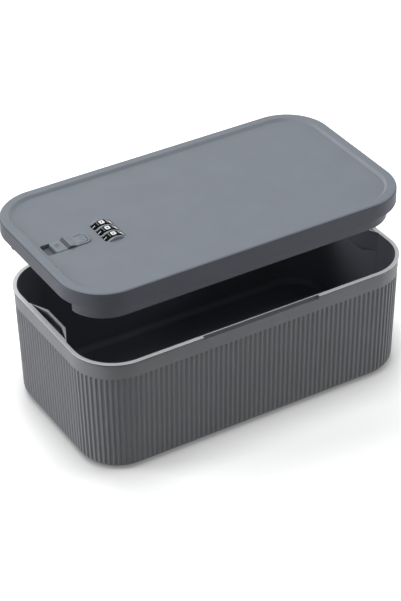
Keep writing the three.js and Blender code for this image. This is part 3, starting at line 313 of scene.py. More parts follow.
def carve(body, operation, tools):
    """Joins tools to body, cuts them from it or keeps what they share, and removes them."""
    for tool in tools:
        step = body.modifiers.new(operation, "BOOLEAN")
        step.operation = operation
        step.solver = "MANIFOLD"
        step.object = tool
    graph = bpy.context.evaluated_depsgraph_get()
    result = bpy.data.meshes.new_from_object(body.evaluated_get(graph))
    body.modifiers.clear()
    result.materials.clear()
    body.data = result
    for tool in tools:
        bpy.data.objects.remove(tool)
    return body


def tidy_mesh(piece, sharp=35.0):
    """Merges doubles, marks sharp edges and shades the rest smooth."""
    shape = bmesh.new()
    shape.from_mesh(piece.data)
    bmesh.ops.remove_doubles(shape, verts=shape.verts, dist=1e-6)
    bmesh.ops.dissolve_degenerate(shape, edges=shape.edges, dist=1e-6)
    shape.to_mesh(piece.data)
    shape.free()
    piece.data.shade_smooth()
    piece.data.set_sharp_from_angle(angle=math.radians(sharp))
    normals = piece.modifiers.new("normals", "WEIGHTED_NORMAL")
    normals.keep_sharp = True
    return piece


def to_lid(piece):
    """Moves a mesh from the lid's own frame to where the lid stands."""
    piece.data.transform(Matrix.Translation(Vector(LID_PLACE) * MM))
    return piece


# Materials

def node_of(tree, kind, **values):
    node = tree.nodes.new(kind)
    for name, value in values.items():
        setattr(node, name, value)
    return node


def surface(name, colour, roughness, grain=2200.0, depth=0.00004, mottle=0.03, metal=0.0, specular=0.5):
    """Moulded plastic or metal: cloudy tone, fine grain in roughness and relief."""
    material = bpy.data.materials.new(name)
    material.use_nodes = True
    tree = material.node_tree
    shader = tree.nodes["Principled BSDF"]
    shader.inputs["Metallic"].default_value = metal
    shader.inputs["Specular IOR Level"].default_value = specular
    link = tree.links.new
    place = node_of(tree, "ShaderNodeTexCoord")

    cloud = node_of(tree, "ShaderNodeTexNoise")
    cloud.inputs["Scale"].default_value = 45.0
    cloud.inputs["Detail"].default_value = 3.0
    link(place.outputs["Object"], cloud.inputs["Vector"])
    tone = node_of(tree, "ShaderNodeValToRGB")
    tone.color_ramp.elements[0].position = 0.3
    tone.color_ramp.elements[1].position = 0.7
    tone.color_ramp.elements[0].color = (*[c * (1 - mottle) for c in colour], 1)
    tone.color_ramp.elements[1].color = (*[c * (1 + mottle) for c in colour], 1)
    link(cloud.outputs["Fac"], tone.inputs["Fac"])
    link(tone.outputs["Color"], shader.inputs["Base Color"])

    speck = node_of(tree, "ShaderNodeTexNoise")
    speck.inputs["Scale"].default_value = grain
    speck.inputs["Detail"].default_value = 2.0
    link(place.outputs["Object"], speck.inputs["Vector"])
    gloss = node_of(tree, "ShaderNodeMapRange")
    gloss.inputs["To Min"].default_value = roughness - 0.06
    gloss.inputs["To Max"].default_value = roughness + 0.06
    link(speck.outputs["Fac"], gloss.inputs["Value"])
    link(gloss.outputs["Result"], shader.inputs["Roughness"])
    relief = node_of(tree, "ShaderNodeBump")
    relief.inputs["Strength"].default_value = 0.5
    relief.inputs["Distance"].default_value = depth
    link(speck.outputs["Fac"], relief.inputs["Height"])
    link(relief.outputs["Normal"], shader.inputs["Normal"])
    return material


def srgb(red, green, blue):
    """Linear colour from the 0 to 255 values of a picture."""
    return tuple(
        c / 12.92 if c <= 0.04045 else ((c + 0.055) / 1.055) ** 2.4
        for c in (red / 255, green / 255, blue / 255)
    )


TUB_OUTSIDE = surface("tub plastic", srgb(140, 141, 145), 0.52, specular=0.3)
# Inside of the tub: painted shade, the tub's plastic darkened for the shade under the lid
TUB_INSIDE_SHADE = surface("tub inside painted shade", srgb(100, 102, 110), 0.6, specular=0.3)
# Rim's top: painted highlight, much lighter than the tub's plastic
TUB_RIM_HIGHLIGHT = surface("tub rim", srgb(235, 236, 238), 0.45)
# Rim lip's side and underside and the notch's upright faces: painted shade
TUB_LIP_SHADE = surface("tub lip painted shade", srgb(104, 105, 109), 0.6, specular=0.2)
COVER = surface("lid plastic", srgb(123, 130, 139), 0.45, specular=0.3)
# Lid's sides: painted shade, darker than the lid's top
COVER_SIDE_SHADE = surface("lid side painted shade", srgb(98, 101, 109), 0.5, specular=0.15)
# Border's inner slope: painted highlight
COVER_SLOPE_HIGHLIGHT = surface("lid slope painted highlight", srgb(137, 142, 150), 0.4, specular=0.35)
# Lower part of the lid's rounded edge: a band of painted shade
COVER_EDGE_SHADE = surface("lid edge painted shade", srgb(80, 83, 91), 0.5, specular=0.15)
BASE = surface("lid base plastic", srgb(88, 91, 99), 0.5, specular=0.3)
SLIDER = surface("slider plastic", srgb(129, 136, 145), 0.42, specular=0.3)
# Slider's step, crest walls and groove: painted shade
SLIDER_SHADE = surface("slider painted shade", srgb(84, 87, 94), 0.5, specular=0.15)
CASE = surface("case plastic", srgb(46, 47, 50), 0.5)
DIAL = surface("dial plastic", srgb(12, 13, 15), 0.4, depth=0.00001, specular=0.03)
# Ridges between the dial's flats: painted highlight
DIAL_RIDGE_HIGHLIGHT = surface("dial ridge painted highlight", srgb(150, 152, 155), 0.35, depth=0.00001, specular=0.3)
INK = surface("number paint", srgb(250, 250, 250), 0.5, depth=0.00002)
ZINC = surface("zinc plate", srgb(196, 199, 202), 0.3, grain=900.0, depth=0.00001, metal=1.0)
STEEL = surface("spring steel", srgb(170, 172, 175), 0.28, grain=900.0, depth=0.00001, metal=1.0)
BRASS = surface("brass", srgb(202, 171, 108), 0.3, grain=700.0, depth=0.00001, metal=1.0)


# Tub

def draft_at(z):
    return TUB_DRAFT * (1 - z / TUB_HEIGHT)


def wall_place(s):
    """Place on the tub's largest outline and the outward direction, at a way s round it."""
    arc_length = TUB_CORNER * math.pi / 2
    halves = (TUB_HALF_WIDTH - TUB_CORNER, TUB_HALF_LENGTH - TUB_CORNER)
    turn = 0
    side = 2 * halves[0]
    while s > side + arc_length:
        s -= side + arc_length
        turn += 1
        side = 2 * halves[turn % 2]
    reach = TUB_HALF_WIDTH if turn % 2 else TUB_HALF_LENGTH
    bend = max(0.0, (s - side) / TUB_CORNER)
    if s <= side:
        x, y = reach, s - side / 2
    else:
        x = reach - TUB_CORNER + TUB_CORNER * math.cos(bend)
        y = side / 2 + TUB_CORNER * math.sin(bend)
    quarter = turn * math.pi / 2
    cos, sin = math.cos(quarter), math.sin(quarter)
    nx, ny = math.cos(bend), math.sin(bend)
    return (x * cos - y * sin, x * sin + y * cos, nx * cos - ny * sin, nx * sin + ny * cos)


# Places across one flute, and how much of the groove's depth each has
FLUTE_STATIONS = (-1.5, -1.24, -1.05, -0.78, -0.42, 0, 0.42, 0.78, 1.05, 1.24, 1.5)


def flute_depth(across, above):
    """Depth of a flute at a way across it, and above the start of its domed end."""
    square = FLUTE_RADIUS ** 2 - across ** 2 - max(0.0, above) ** 2
    if square <= 0:
        return 0.0
    return max(0.0, math.sqrt(square) - (FLUTE_RADIUS - FLUTE_DEPTH))


def make_tub():
    around = 4 * (TUB_HALF_LENGTH + TUB_HALF_WIDTH) - (8 - 2 * math.pi) * TUB_CORNER
    pitch = around / FLUTE_COUNT
    columns = []
    for i in range(FLUTE_COUNT):
        for across in (*FLUTE_STATIONS, pitch / 2):
            columns.append((*wall_place(((i + 0.5) * pitch + across) % around), across))

    dome = TUB_HEIGHT - BAND_HEIGHT - math.sqrt(FLUTE_RADIUS ** 2 - (FLUTE_RADIUS - FLUTE_DEPTH) ** 2)
    under_rim = TUB_HEIGHT - RIM_HEIGHT
    # Rows as height, inset of the skin, and inset that the flutes count from, where they run
    rows = []
    for sin, cos in arc(9):
        z = FOOT_RADIUS * (1 - cos)
        wall = RIM_PROUD + draft_at(z)
        rows.append((z, wall + FOOT_RADIUS * (1 - sin), wall))
    for z in (30, 55, dome, dome + 0.4, dome + 0.7, dome + 0.95, dome + 1.15):
        wall = RIM_PROUD + draft_at(z)
        rows.append((z, wall, wall))
    for z, inset in (
        (TUB_HEIGHT - BAND_HEIGHT + 0.1, RIM_PROUD + draft_at(TUB_HEIGHT - BAND_HEIGHT)),
        (under_rim - UNDERCUT_HEIGHT, RIM_PROUD + draft_at(under_rim)),
        (under_rim - UNDERCUT_HEIGHT * 0.8, RIM_PROUD + UNDERCUT_DEPTH),
        (under_rim, RIM_PROUD + UNDERCUT_DEPTH),
        (under_rim, 0.05),
        (under_rim + 0.08, 0),
        (TUB_HEIGHT - RIM_EDGE, 0),
        (TUB_HEIGHT - RIM_EDGE * 0.3, RIM_EDGE * 0.3),
        (TUB_HEIGHT, RIM_EDGE),
        (TUB_HEIGHT, RIM_WIDTH - RIM_EDGE),
        (TUB_HEIGHT - RIM_EDGE * 0.3, RIM_WIDTH - RIM_EDGE * 0.3),
        (TUB_HEIGHT - RIM_EDGE, RIM_WIDTH),
    ):
        rows.append((z, inset, None))
    for sin, cos in arc(8, 90, 0):
        z = TUB_FLOOR + INNER_FOOT_RADIUS * (1 - cos)
        rows.append((z, RIM_WIDTH + draft_at(z) + INNER_FOOT_RADIUS * (1 - sin), None))

    rings = []
    for z, inset, flutes_from in rows:
        ring = []
        for x, y, nx, ny, across in columns:
            depth = inset
            if flutes_from is not None:
                depth = max(inset, flutes_from + flute_depth(across, z - dome))
            ring.append((x - nx * depth, y - ny * depth, z))
        rings.append(ring)
    tub = loft("tub_body", rings)

    blocks = both_ends(pocket_block())
    carve(tub, "UNION", blocks)
    hollows = both_ends(prism(pocket_hollow(), TUB_HEIGHT - POCKET_DEPTH, TUB_HEIGHT + PAST))
    windows = both_ends(box(
        (POCKET_WALL_X - POCKET_REACH - PAST, -WINDOW_HALF, WINDOW_LOW),
        (POCKET_WALL_X - PAST, WINDOW_HALF, WINDOW_HIGH),
    ))
    notch = box(
        (-NOTCH_HALF, -TUB_HALF_WIDTH - PAST, TUB_HEIGHT - NOTCH_HEIGHT),
        (NOTCH_HALF, -TUB_HALF_WIDTH + NOTCH_DEPTH, TUB_HEIGHT + PAST),
    )
    carve(tub, "DIFFERENCE", [*hollows, *windows, notch])
    return tub


def pocket_plan(margin):
    wall = POCKET_WALL_X
    reach = POCKET_REACH + margin
    base = POCKET_BASE + margin * POCKET_SPREAD
    face = POCKET_FACE + margin * POCKET_SPREAD
    return [(wall + PAST, -base), (wall + PAST, base), (wall - reach, face), (wall - reach, -face)]


def pocket_hollow():
    return [(min(x, POCKET_WALL_X), y) for x, y in pocket_plan(-POCKET_WALL)]


def pocket_block():
    top = pocket_plan(0)
    lower = [(max(x, POCKET_WALL_X - 0.3), y * POCKET_NARROWING) for x, y in top]
    straight = TUB_HEIGHT - POCKET_DEPTH - POCKET_WALL
    return loft("block", [
        at_height(lower, straight - POCKET_TAPER),
        at_height(top, straight),
        at_height(top, TUB_HEIGHT),
    ])


# Faces whose normal points up by less than this count as upright
UPRIGHT = 0.3


def paint_tub(tub):
    """Paints a highlight on the rim's top, shade on the inside, and shade on the rim lip's side and
    underside and on the notch's upright faces.
    """
    for material in (TUB_OUTSIDE, TUB_INSIDE_SHADE, TUB_RIM_HIGHLIGHT, TUB_LIP_SHADE):
        tub.data.materials.append(material)
    rim_z = (TUB_HEIGHT - RIM_HEIGHT - 0.01) * MM
    notch_z = (TUB_HEIGHT - NOTCH_HEIGHT) * MM
    for face in tub.data.polygons:
        x, y, z = face.center
        inset = inset_at(x / MM, y / MM, TUB_HALF_LENGTH, TUB_HALF_WIDTH, TUB_CORNER)
        inside = inset > RIM_WIDTH - 0.06 + draft_at(z / MM) and z > (TUB_FLOOR - 0.01) * MM
        in_notch = abs(x) < (NOTCH_HALF + 0.1) * MM and y < 0 and inset > RIM_PROUD + 1 and z > notch_z
        if z > rim_z and face.normal.z > UPRIGHT:
            face.material_index = 2
        elif inside:
            face.material_index = 1
        elif z > rim_z or in_notch and face.normal.z < UPRIGHT:
            face.material_index = 3
        else:
            face.material_index = 0


tub = make_tub()
tidy_mesh(tub, 40)
paint_tub(tub)
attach(tub, "tub")
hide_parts("tub")


# Lid cover

def arch(middle, low_z):
    """Arched lip across a dial window's side, its crest eased."""
    rings = []
    for y, radius in (
        (-LIP_HALF, LIP_RADIUS - LIP_EDGE),
        (-LIP_HALF + LIP_EDGE * 0.3, LIP_RADIUS - LIP_EDGE * 0.3),
        (-LIP_HALF + LIP_EDGE, LIP_RADIUS),
        (LIP_HALF - LIP_EDGE, LIP_RADIUS),
        (LIP_HALF - LIP_EDGE * 0.3, LIP_RADIUS - LIP_EDGE * 0.3),
        (LIP_HALF, LIP_RADIUS - LIP_EDGE),
    ):
        start = math.asin((low_z - DIAL_Z) / radius)
        steps = 48
        ring = []
        for k in range(steps + 1):
            angle = start + (math.pi - 2 * start) * k / steps
            x = DIAL_X + radius * math.cos(angle)
            ring.append((x, middle + y, DIAL_Z + radius * math.sin(angle)))
        rings.append(ring)
    return loft("arch", rings)


def slot_outline(left, right, half, left_radius, right_radius, steps=10):
    loop = []
    for x, y, radius, start in (
        (right - right_radius, -half + right_radius, right_radius, -90),
        (right - right_radius, half - right_radius, right_radius, 0),
        (left + left_radius, half - left_radius, left_radius, 90),
        (left + left_radius, -half + left_radius, left_radius, 180),
    ):
        for sin, cos in arc(steps, start, start + 90):
            loop.append((x + radius * cos, y + radius * sin))
    return loop


BASE_SCREWS = [(x, y) for y in (48, -48) for x in (118, -118)] + [(0, 60), (0, -60)]
CASE_SCREWS = ((-87, -21), (-69, -21), (-56.9, -1))
PINION = (-40, 12)

# Screw holes and the posts that the screws bite in
SCREW_HOLE = 1.55
POST_HOLE_TOP = 7.4
COVER_POST = 3.5
COVER_POST_LOW = 0.15
CASE_POST = 3.2
CASE_POST_LOW = 2.2

# Rails beside the slider's flange, and the lips' feet at the end dials and between dials
RAIL_X = (-138, -91.6)
RAIL_Y = (9.2, -10.8)
RAIL_WIDTH = 1.6
RAIL_LOW = 4.4
END_LIP_LOW = PANEL_UNDER + 0.1
MIDDLE_LIP_LOW = 4.1

# Heights of the zones of painted shade and painted highlight on the lid, as shares of the rounded edge
# and from both ends of the slope
SIDE_FROM = 0.7
EDGE_FROM = 0.3
SLOPE_END = 0.1

# Ribs across the bolt bars, as x and both ends in y: under the bars, and over them
RIB_HALF = 1
REST_TOP = 0.6
HOLD_DOWN_LOW = 3.2
RIGHT_RESTS = [(x, -4.75, 4.75) for x in (-30, 44.2, 94.4)]
ARM_RESTS = [(x, 19.25, 25) for x in (-98.6, -59, -30)]
RESTS = [(-113.6, 4, 7), (-113.6, -7, -4), (-98.6, -15, 20), *ARM_RESTS, *RIGHT_RESTS]
HOLD_DOWNS = [ARM_RESTS[1], *RIGHT_RESTS[1:]]


def rib(place, z0, z1):
    x, y0, y1 = place
    return box((x - RIB_HALF, y0, z0), (x + RIB_HALF, y1, z1))


def screw_hole(x, y, z0, z1):
    return post(x, y, SCREW_HOLE, z0, z1, 16)


def make_cover():
    rings = []
    # From the panel's edge up the border, over the edge and down the side
    steps = 12
    for k in range(steps + 1):
        share = k / steps
        inset = BORDER_TO + (BORDER_FROM - BORDER_TO) * share
        rings.append((inset, PANEL_TOP + (LID_HEIGHT - PANEL_TOP) * eased(share)))
    for sin, cos in arc(8):
        rings.append((LID_EDGE * (1 - sin), LID_HEIGHT - LID_EDGE * (1 - cos)))
    rings.append((0, LID_FOOT_EDGE))
    rings.append((LID_FOOT_EDGE, 0))
    rings.append((SKIRT_WALL, 0))
    for sin, cos in arc(4):
        rings.append((SKIRT_WALL + SKIRT_FILLET * (1 - cos), PANEL_UNDER - SKIRT_FILLET * (1 - sin)))
    cover = loft("lid_cover", [at_height(lid_outline(inset), z) for inset, z in rings])

    lips = []
    for share in (1.5, 0.5, -0.5, -1.5):
        lips.append(arch(share * DIAL_PITCH, END_LIP_LOW if abs(share) > 1 else MIDDLE_LIP_LOW))
    posts = [post(x, y, COVER_POST, COVER_POST_LOW, PANEL_UNDER + PAST) for x, y in BASE_SCREWS]
    posts += [post(x, y, CASE_POST, CASE_POST_LOW, PANEL_UNDER + PAST) for x, y in CASE_SCREWS]
    posts += [rib(place, HOLD_DOWN_LOW, PANEL_UNDER + PAST) for place in HOLD_DOWNS]
    rails = [
        box((RAIL_X[0], y, RAIL_LOW), (RAIL_X[1], y + RAIL_WIDTH, PANEL_UNDER + PAST)) for y in RAIL_Y
    ]
    carve(cover, "UNION", [*lips, *posts, *rails])
    windows = []
    for y in DIAL_ROW:
        ends = ((y - DIAL_WINDOW_HALF, WINDOW_RADIUS), (y + DIAL_WINDOW_HALF, WINDOW_RADIUS))
        windows.append(barrel(DIAL_X, DIAL_Z, ends))
    slot = prism(
        slot_outline(SLOT_LEFT, SLOT_RIGHT, SLOT_HALF, SLOT_LEFT_RADIUS, SLOT_RIGHT_RADIUS),
        PANEL_UNDER - PAST, LID_HEIGHT + PAST,
    )
    rebate = prism(
        slot_outline(REBATE_LEFT, REBATE_RIGHT, SLOT_HALF, SLOT_LEFT_RADIUS, SLOT_RIGHT_RADIUS),
        REBATE_FLOOR, LID_HEIGHT + PAST,
    )
    holes = [screw_hole(x, y, -PAST, POST_HOLE_TOP) for x, y in (*BASE_SCREWS, *CASE_SCREWS)]
    carve(cover, "DIFFERENCE", [*windows, slot, rebate, *holes])
    return cover


def paint_cover(cover):
    """Paints shade on the cover's sides and, darker, on the lower part of its rounded edge, and a
    highlight on the border's slope.
    """
    for material in (COVER, COVER_SIDE_SHADE, COVER_SLOPE_HIGHLIGHT, COVER_EDGE_SHADE):
        cover.data.materials.append(material)
    for face in cover.data.polygons:
        x, y, z = face.center / MM
        inset = inset_at(x, y, LID_HALF_LENGTH, LID_HALF_WIDTH, LID_CORNER)
        if inset < LID_EDGE and z < LID_HEIGHT - LID_EDGE * SIDE_FROM:
            face.material_index = 1
        elif inset < LID_EDGE and z < LID_HEIGHT - LID_EDGE * EDGE_FROM:
            face.material_index = 3
        elif inset > BORDER_FROM and PANEL_TOP + SLOPE_END < z < LID_HEIGHT - SLOPE_END:
            face.material_index = 2


cover = make_cover()
paint_cover(cover)
to_lid(cover)
tidy_mesh(cover, 30)
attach(cover, "lid")
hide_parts("lid_shell")


# Lid base

BOSS_RADIUS = 4.2
BOSS_TOP = -0.15
SEAT_RADIUS = 2.9
SEAT_TOP = -10.3
PINION_HOLE_LOW = -6
RESET_SLOT_HALF = 2.6
RESET_SLOT_Y = (-27.2, -21.6)


def bay_plan(extra, outer_x):
    """Room round a keeper pocket, its slanted sides carried on to outer_x."""
    face_x = BAY_FACE - extra
    face = BAY_HALF + extra * POCKET_SPREAD
    far = face + BAY_SLOPE * (outer_x - face_x)
    return [(outer_x, -far), (outer_x, far), (face_x, face), (face_x, -face)]


def make_base():
    skin = [(PLUG_INSET + PLUG_DRAFT + PLUG_EDGE * (1 - sin), PLUG_BOTTOM + PLUG_EDGE * (1 - cos))
            for sin, cos in arc(4)]
    skin += [(PLUG_INSET, 0), (FLANGE_INSET, 0), (FLANGE_INSET, FLANGE_TOP)]
    base = loft("lid_plug", [at_height(lid_outline(inset), z) for inset, z in skin])
    room = loft("room", [
        at_height(lid_outline(PLUG_INSET + PLUG_DRAFT + PLUG_WALL), FLOOR_TOP),
        at_height(lid_outline(PLUG_INSET + PLUG_WALL), FLANGE_TOP + PAST),
    ])
    wall_plan = bay_plan(PLUG_WALL, LID_HALF_LENGTH)
    walls = both_ends(prism(wall_plan, PLUG_BOTTOM - PAST, FLANGE_TOP + 2 * PAST))
    carve(room, "DIFFERENCE", walls)
    carve(base, "DIFFERENCE", [room])

    bosses = [post(x, y, BOSS_RADIUS, FLOOR_TOP - PAST, BOSS_TOP) for x, y in BASE_SCREWS]
    bosses.append(post(*PINION, BOSS_RADIUS, FLOOR_TOP - PAST, REST_TOP))
    bosses += [rib(place, FLOOR_TOP - PAST, REST_TOP) for place in RESTS]
    carve(base, "UNION", bosses)
    bays = both_ends(prism(bay_plan(0, LID_HALF_LENGTH + PAST), PLUG_BOTTOM - PAST, 0))
    bolt_holes = both_ends(box(
        (BAY_FACE - BOLT_HOLE_DEPTH - PAST, -BOLT_HOLE_HALF, BOLT_HOLE_LOW),
        (BAY_FACE + PAST, BOLT_HOLE_HALF, BOLT_HOLE_HIGH),
    ))
    screw_holes = [screw_hole(x, y, PLUG_BOTTOM - PAST, PAST) for x, y in BASE_SCREWS]
    screw_holes.append(screw_hole(*PINION, PINION_HOLE_LOW, PAST))
    seats = [post(x, y, SEAT_RADIUS, PLUG_BOTTOM - PAST, SEAT_TOP) for x, y in BASE_SCREWS]
    reset = box(
        (DIAL_X - RESET_SLOT_HALF, RESET_SLOT_Y[0], PLUG_BOTTOM - PAST),
        (DIAL_X + RESET_SLOT_HALF, RESET_SLOT_Y[1], FLOOR_TOP + PAST),
    )
    carve(base, "DIFFERENCE", [*bays, *bolt_holes, *screw_holes, *seats, reset])
    return base


base = to_lid(make_base())
tidy_mesh(base, 30)
base.data.materials.append(BASE)
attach(base, "lid")
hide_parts("lid_base")


# Thumb slider

SLIDER_RADIUS = 0.5
SCOOP_DEPTH = 0.9
SCOOP_REACH = 4.3
SCOOP_RINGS = ((1.6, 0.3), (3.0, 0.22))
STEP_RUN = 2.4
RIDGE_HALF = 0.45
SCOOP_X = -118.3
RING_X = -99
RING_RADIUS = 1.9
RING_HEIGHT = 0.35
BORDER_INSET = 2.0
BORDER_GROOVE = 0.55
GROOVE_RUN_IN = 3
PAD_RADIUS = SLOT_RIGHT_RADIUS - 0.4
STEM_X = (-116, -100)
STEM_HALF = 5
STEM_LOW = 3.2
SLIDER_SCREW_X = (-112, -104)
SLIDER_HOLE_TOP = 7


def slider_edge(x, y):
    """Distance from the button's outline, inwards."""
    y = abs(y)
    for from_end, radius in (
        (x - SLIDER_LEFT, SLOT_LEFT_RADIUS),
        (SLIDER_END - x, PAD_RADIUS),
    ):
        if from_end < radius and SLIDER_HALF - y < radius:
            return radius - math.hypot(radius - from_end, radius - (SLIDER_HALF - y))
    return min(x - SLIDER_LEFT, SLIDER_END - x, SLIDER_HALF - y)


def ridge(distance, radius, height):
    share = abs(distance - radius) / RIDGE_HALF
    return height * 0.5 * (1 + math.cos(math.pi * share)) if share < 1 else 0.0


def slider_height(x, y):
    from_low = math.hypot(x - SCOOP_X, y)
    bowl = SCOOP_DEPTH * (1 - eased(from_low / SCOOP_REACH))
    low = SLIDER_PAD - bowl + sum(ridge(from_low, radius, rise) for radius, rise in SCOOP_RINGS)
    edge = slider_edge(x, y)
    high = SLIDER_TOP + ridge(math.hypot(x - RING_X, y), RING_RADIUS, RING_HEIGHT)
    fall = eased((x - SLIDER_STEP - 0.6) / (SLIDER_CREST_RUN - 0.6))
    high = SLIDER_CREST + (high - SLIDER_CREST) * fall
    # A fine groove beside the high pad's rounded edge
    groove = ridge(edge, BORDER_INSET, BORDER_GROOVE)
    high -= groove * eased((x - SLIDER_STEP - SLIDER_CREST_RUN) / GROOVE_RUN_IN)
    rise = eased((x - (SLIDER_STEP - STEP_RUN)) / STEP_RUN)
    height = low + (high - low) * rise
    edge = SLIDER_RADIUS - edge
    if edge > 0:
        edge = min(edge, SLIDER_RADIUS)
        height -= SLIDER_RADIUS - math.sqrt(SLIDER_RADIUS ** 2 - edge ** 2)
    return height


def make_slider():
    step = 0.2
    x_count = round((SLIDER_END - SLIDER_LEFT) / step) + 4
    y_count = round(2 * SLIDER_HALF / step) + 4
    x0 = SLIDER_LEFT - 2 * step
    y0 = -SLIDER_HALF - 2 * step
    foot = FLANGE_Z[1] - PAST
    points = []
    for j in range(y_count + 1):
        for i in range(x_count + 1):
            x, y = x0 + i * step, y0 + j * step
            points.append((x, y, slider_height(x, y)))
    row = x_count + 1
    faces = [
        (j * row + i, j * row + i + 1, (j + 1) * row + i + 1, (j + 1) * row + i)
        for j in range(y_count) for i in range(x_count)
    ]
    # The border of the field, counterclockwise, carried down to the foot
    border = list(range(row))
    border += [j * row + x_count for j in range(1, y_count + 1)]
    border += [y_count * row + i for i in range(x_count - 1, -1, -1)]
    border += [j * row for j in range(y_count - 1, 0, -1)]
    start = len(points)
    points += [(points[i][0], points[i][1], foot) for i in border]
    count = len(border)
    for k in range(count):
        after = (k + 1) % count
        faces.append((border[k], start + k, start + after, border[after]))
    faces.append(tuple(reversed(range(start, start + count))))
    button = mesh_object("slider_button", points, faces)
    plan = slot_outline(SLIDER_LEFT, SLIDER_END, SLIDER_HALF, SLOT_LEFT_RADIUS, PAD_RADIUS)
    carve(button, "INTERSECT", [prism(plan, foot - PAST, SLIDER_CREST + PAST)])
    # Below the overhang the button ends at the through slot
    under = box(
        (SLIDER_RIGHT, -SLIDER_HALF - PAST, foot - PAST),
        (SLIDER_END + PAST, SLIDER_HALF + PAST, OVERHANG_BOTTOM),
    )
    carve(button, "DIFFERENCE", [under])
    flange = box(
        (SLIDER_FLANGE_X[0], -SLIDER_FLANGE_HALF, FLANGE_Z[0]),
        (SLIDER_FLANGE_X[1], SLIDER_FLANGE_HALF, FLANGE_Z[1]),
    )
    stem = box((STEM_X[0], -STEM_HALF, STEM_LOW), (STEM_X[1], STEM_HALF, FLANGE_Z[0] + PAST))
    carve(button, "UNION", [flange, stem])
    holes = [screw_hole(x, 0, STEM_LOW - PAST, SLIDER_HOLE_TOP) for x in SLIDER_SCREW_X]
    carve(button, "DIFFERENCE", holes)
    return button


def in_groove(place):
    """Whether a place lies at the bottom of the groove beside the high pad's edge."""
    on_pad = place.x > SLIDER_STEP + SLIDER_CREST_RUN + 1.5 and place.z > SLIDER_TOP - 1
    return on_pad and abs(slider_edge(place.x, place.y) - BORDER_INSET) < RIDGE_HALF / 2


def paint_slider(slider):
    """Paints shade: the part under the panel takes the darker base plastic, and the step, the crest's
    upright faces and the groove beside the high pad a darker colour.
    """
    for material in (SLIDER, BASE, SLIDER_SHADE):
        slider.data.materials.append(material)
    for face in slider.data.polygons:
        place = face.center / MM
        upright = face.normal.z < UPRIGHT and place.z > PANEL_TOP
        at_step = SLIDER_STEP - STEP_RUN < place.x < SLIDER_STEP
        at_crest = SLIDER_STEP - STEP_RUN < place.x < SLIDER_STEP + SLIDER_CREST_RUN
        # Painted shade: the flange under the panel in the base plastic, the step, crest walls and groove
        # in the slider's shade colour
        if place.z < FLANGE_Z[1] + 0.05:
            face.material_index = 1
        elif at_step or upright and at_crest or in_groove(place):
            face.material_index = 2


slider = make_slider()
paint_slider(slider)
to_lid(slider)
tidy_mesh(slider, 40)
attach(slider, "bolt_left")
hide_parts("thumb_slider")


# Dials

def make_dial_ring():
    """Number wheel about its own centre, edges eased, with a flat for each number."""
    sector = 2 * math.pi / DIAL_FLATS
    flat = DIAL_RADIUS - DIAL_FLAT_DEPTH
    shape = (
        (-0.5, DIAL_RADIUS), (-0.475, DIAL_RADIUS), (-0.43, DIAL_RADIUS - 0.1), (-0.39, flat + 0.06),
        (-0.36, flat), (-0.12, flat), (0.12, flat), (0.36, flat),
        (0.39, flat + 0.06), (0.43, DIAL_RADIUS - 0.1), (0.475, DIAL_RADIUS),
    )
    loop = []
    for k in range(DIAL_FLATS):
        for share, radius in shape:
            angle = math.pi / 2 + (k + share) * sector
            loop.append((math.cos(angle), math.sin(angle), radius))
    rings = []
    for y, less in (
        (-DIAL_HALF, DIAL_BEVEL),
        (-DIAL_HALF + DIAL_BEVEL * 0.3, DIAL_BEVEL * 0.3),
        (-DIAL_HALF + DIAL_BEVEL, 0),
        (DIAL_HALF - DIAL_BEVEL, 0),
        (DIAL_HALF - DIAL_BEVEL * 0.3, DIAL_BEVEL * 0.3),
        (DIAL_HALF, DIAL_BEVEL),
    ):
        rings.append([(c * (r - less), y, s * (r - less)) for c, s, r in loop])
    ring = loft("dial", rings)
    front, back = CLUTCH_Y
    hollows = [
        barrel(0, 0, ((-DIAL_HALF - PAST, FENCE_BORE), (front, FENCE_BORE))),
        barrel(0, 0, ((front - PAST, SLEEVE_BORE), (back + PAST, SLEEVE_BORE))),
        barrel(0, 0, ((back, CLUTCH_BORE), (DIAL_HALF + PAST, CLUTCH_BORE))),
    ]
    for k in range(DIAL_FLATS // 2):
        notch = box((-CLUTCH_REACH, front, -CLUTCH_NOTCH_HALF), (CLUTCH_REACH, back, CLUTCH_NOTCH_HALF))
        notch.data.transform(Matrix.Rotation(k * sector, 4, "Y"))
        hollows.append(notch)
    carve(ring, "DIFFERENCE", hollows)
    return ring


# Size of the numbers: along the wheel's turn and across it
NUMBER_TALL = 5.6
NUMBER_WIDE = 5.0
NUMBER_NARROWEST = 3.2
NUMBER_BOLD = 0.28
ZERO_TALL = 3.8
ZERO_WIDE = 4.3
ZERO_EYE_X = 0.75
ZERO_EYE_Y = 0.6
ZERO_CORNER = 0.9
ZERO_EYE_CORNER = 0.35
NUMBER_RAISED = 0.06
ONE_WIDE = 0.5
ONE_TALL = 2.7


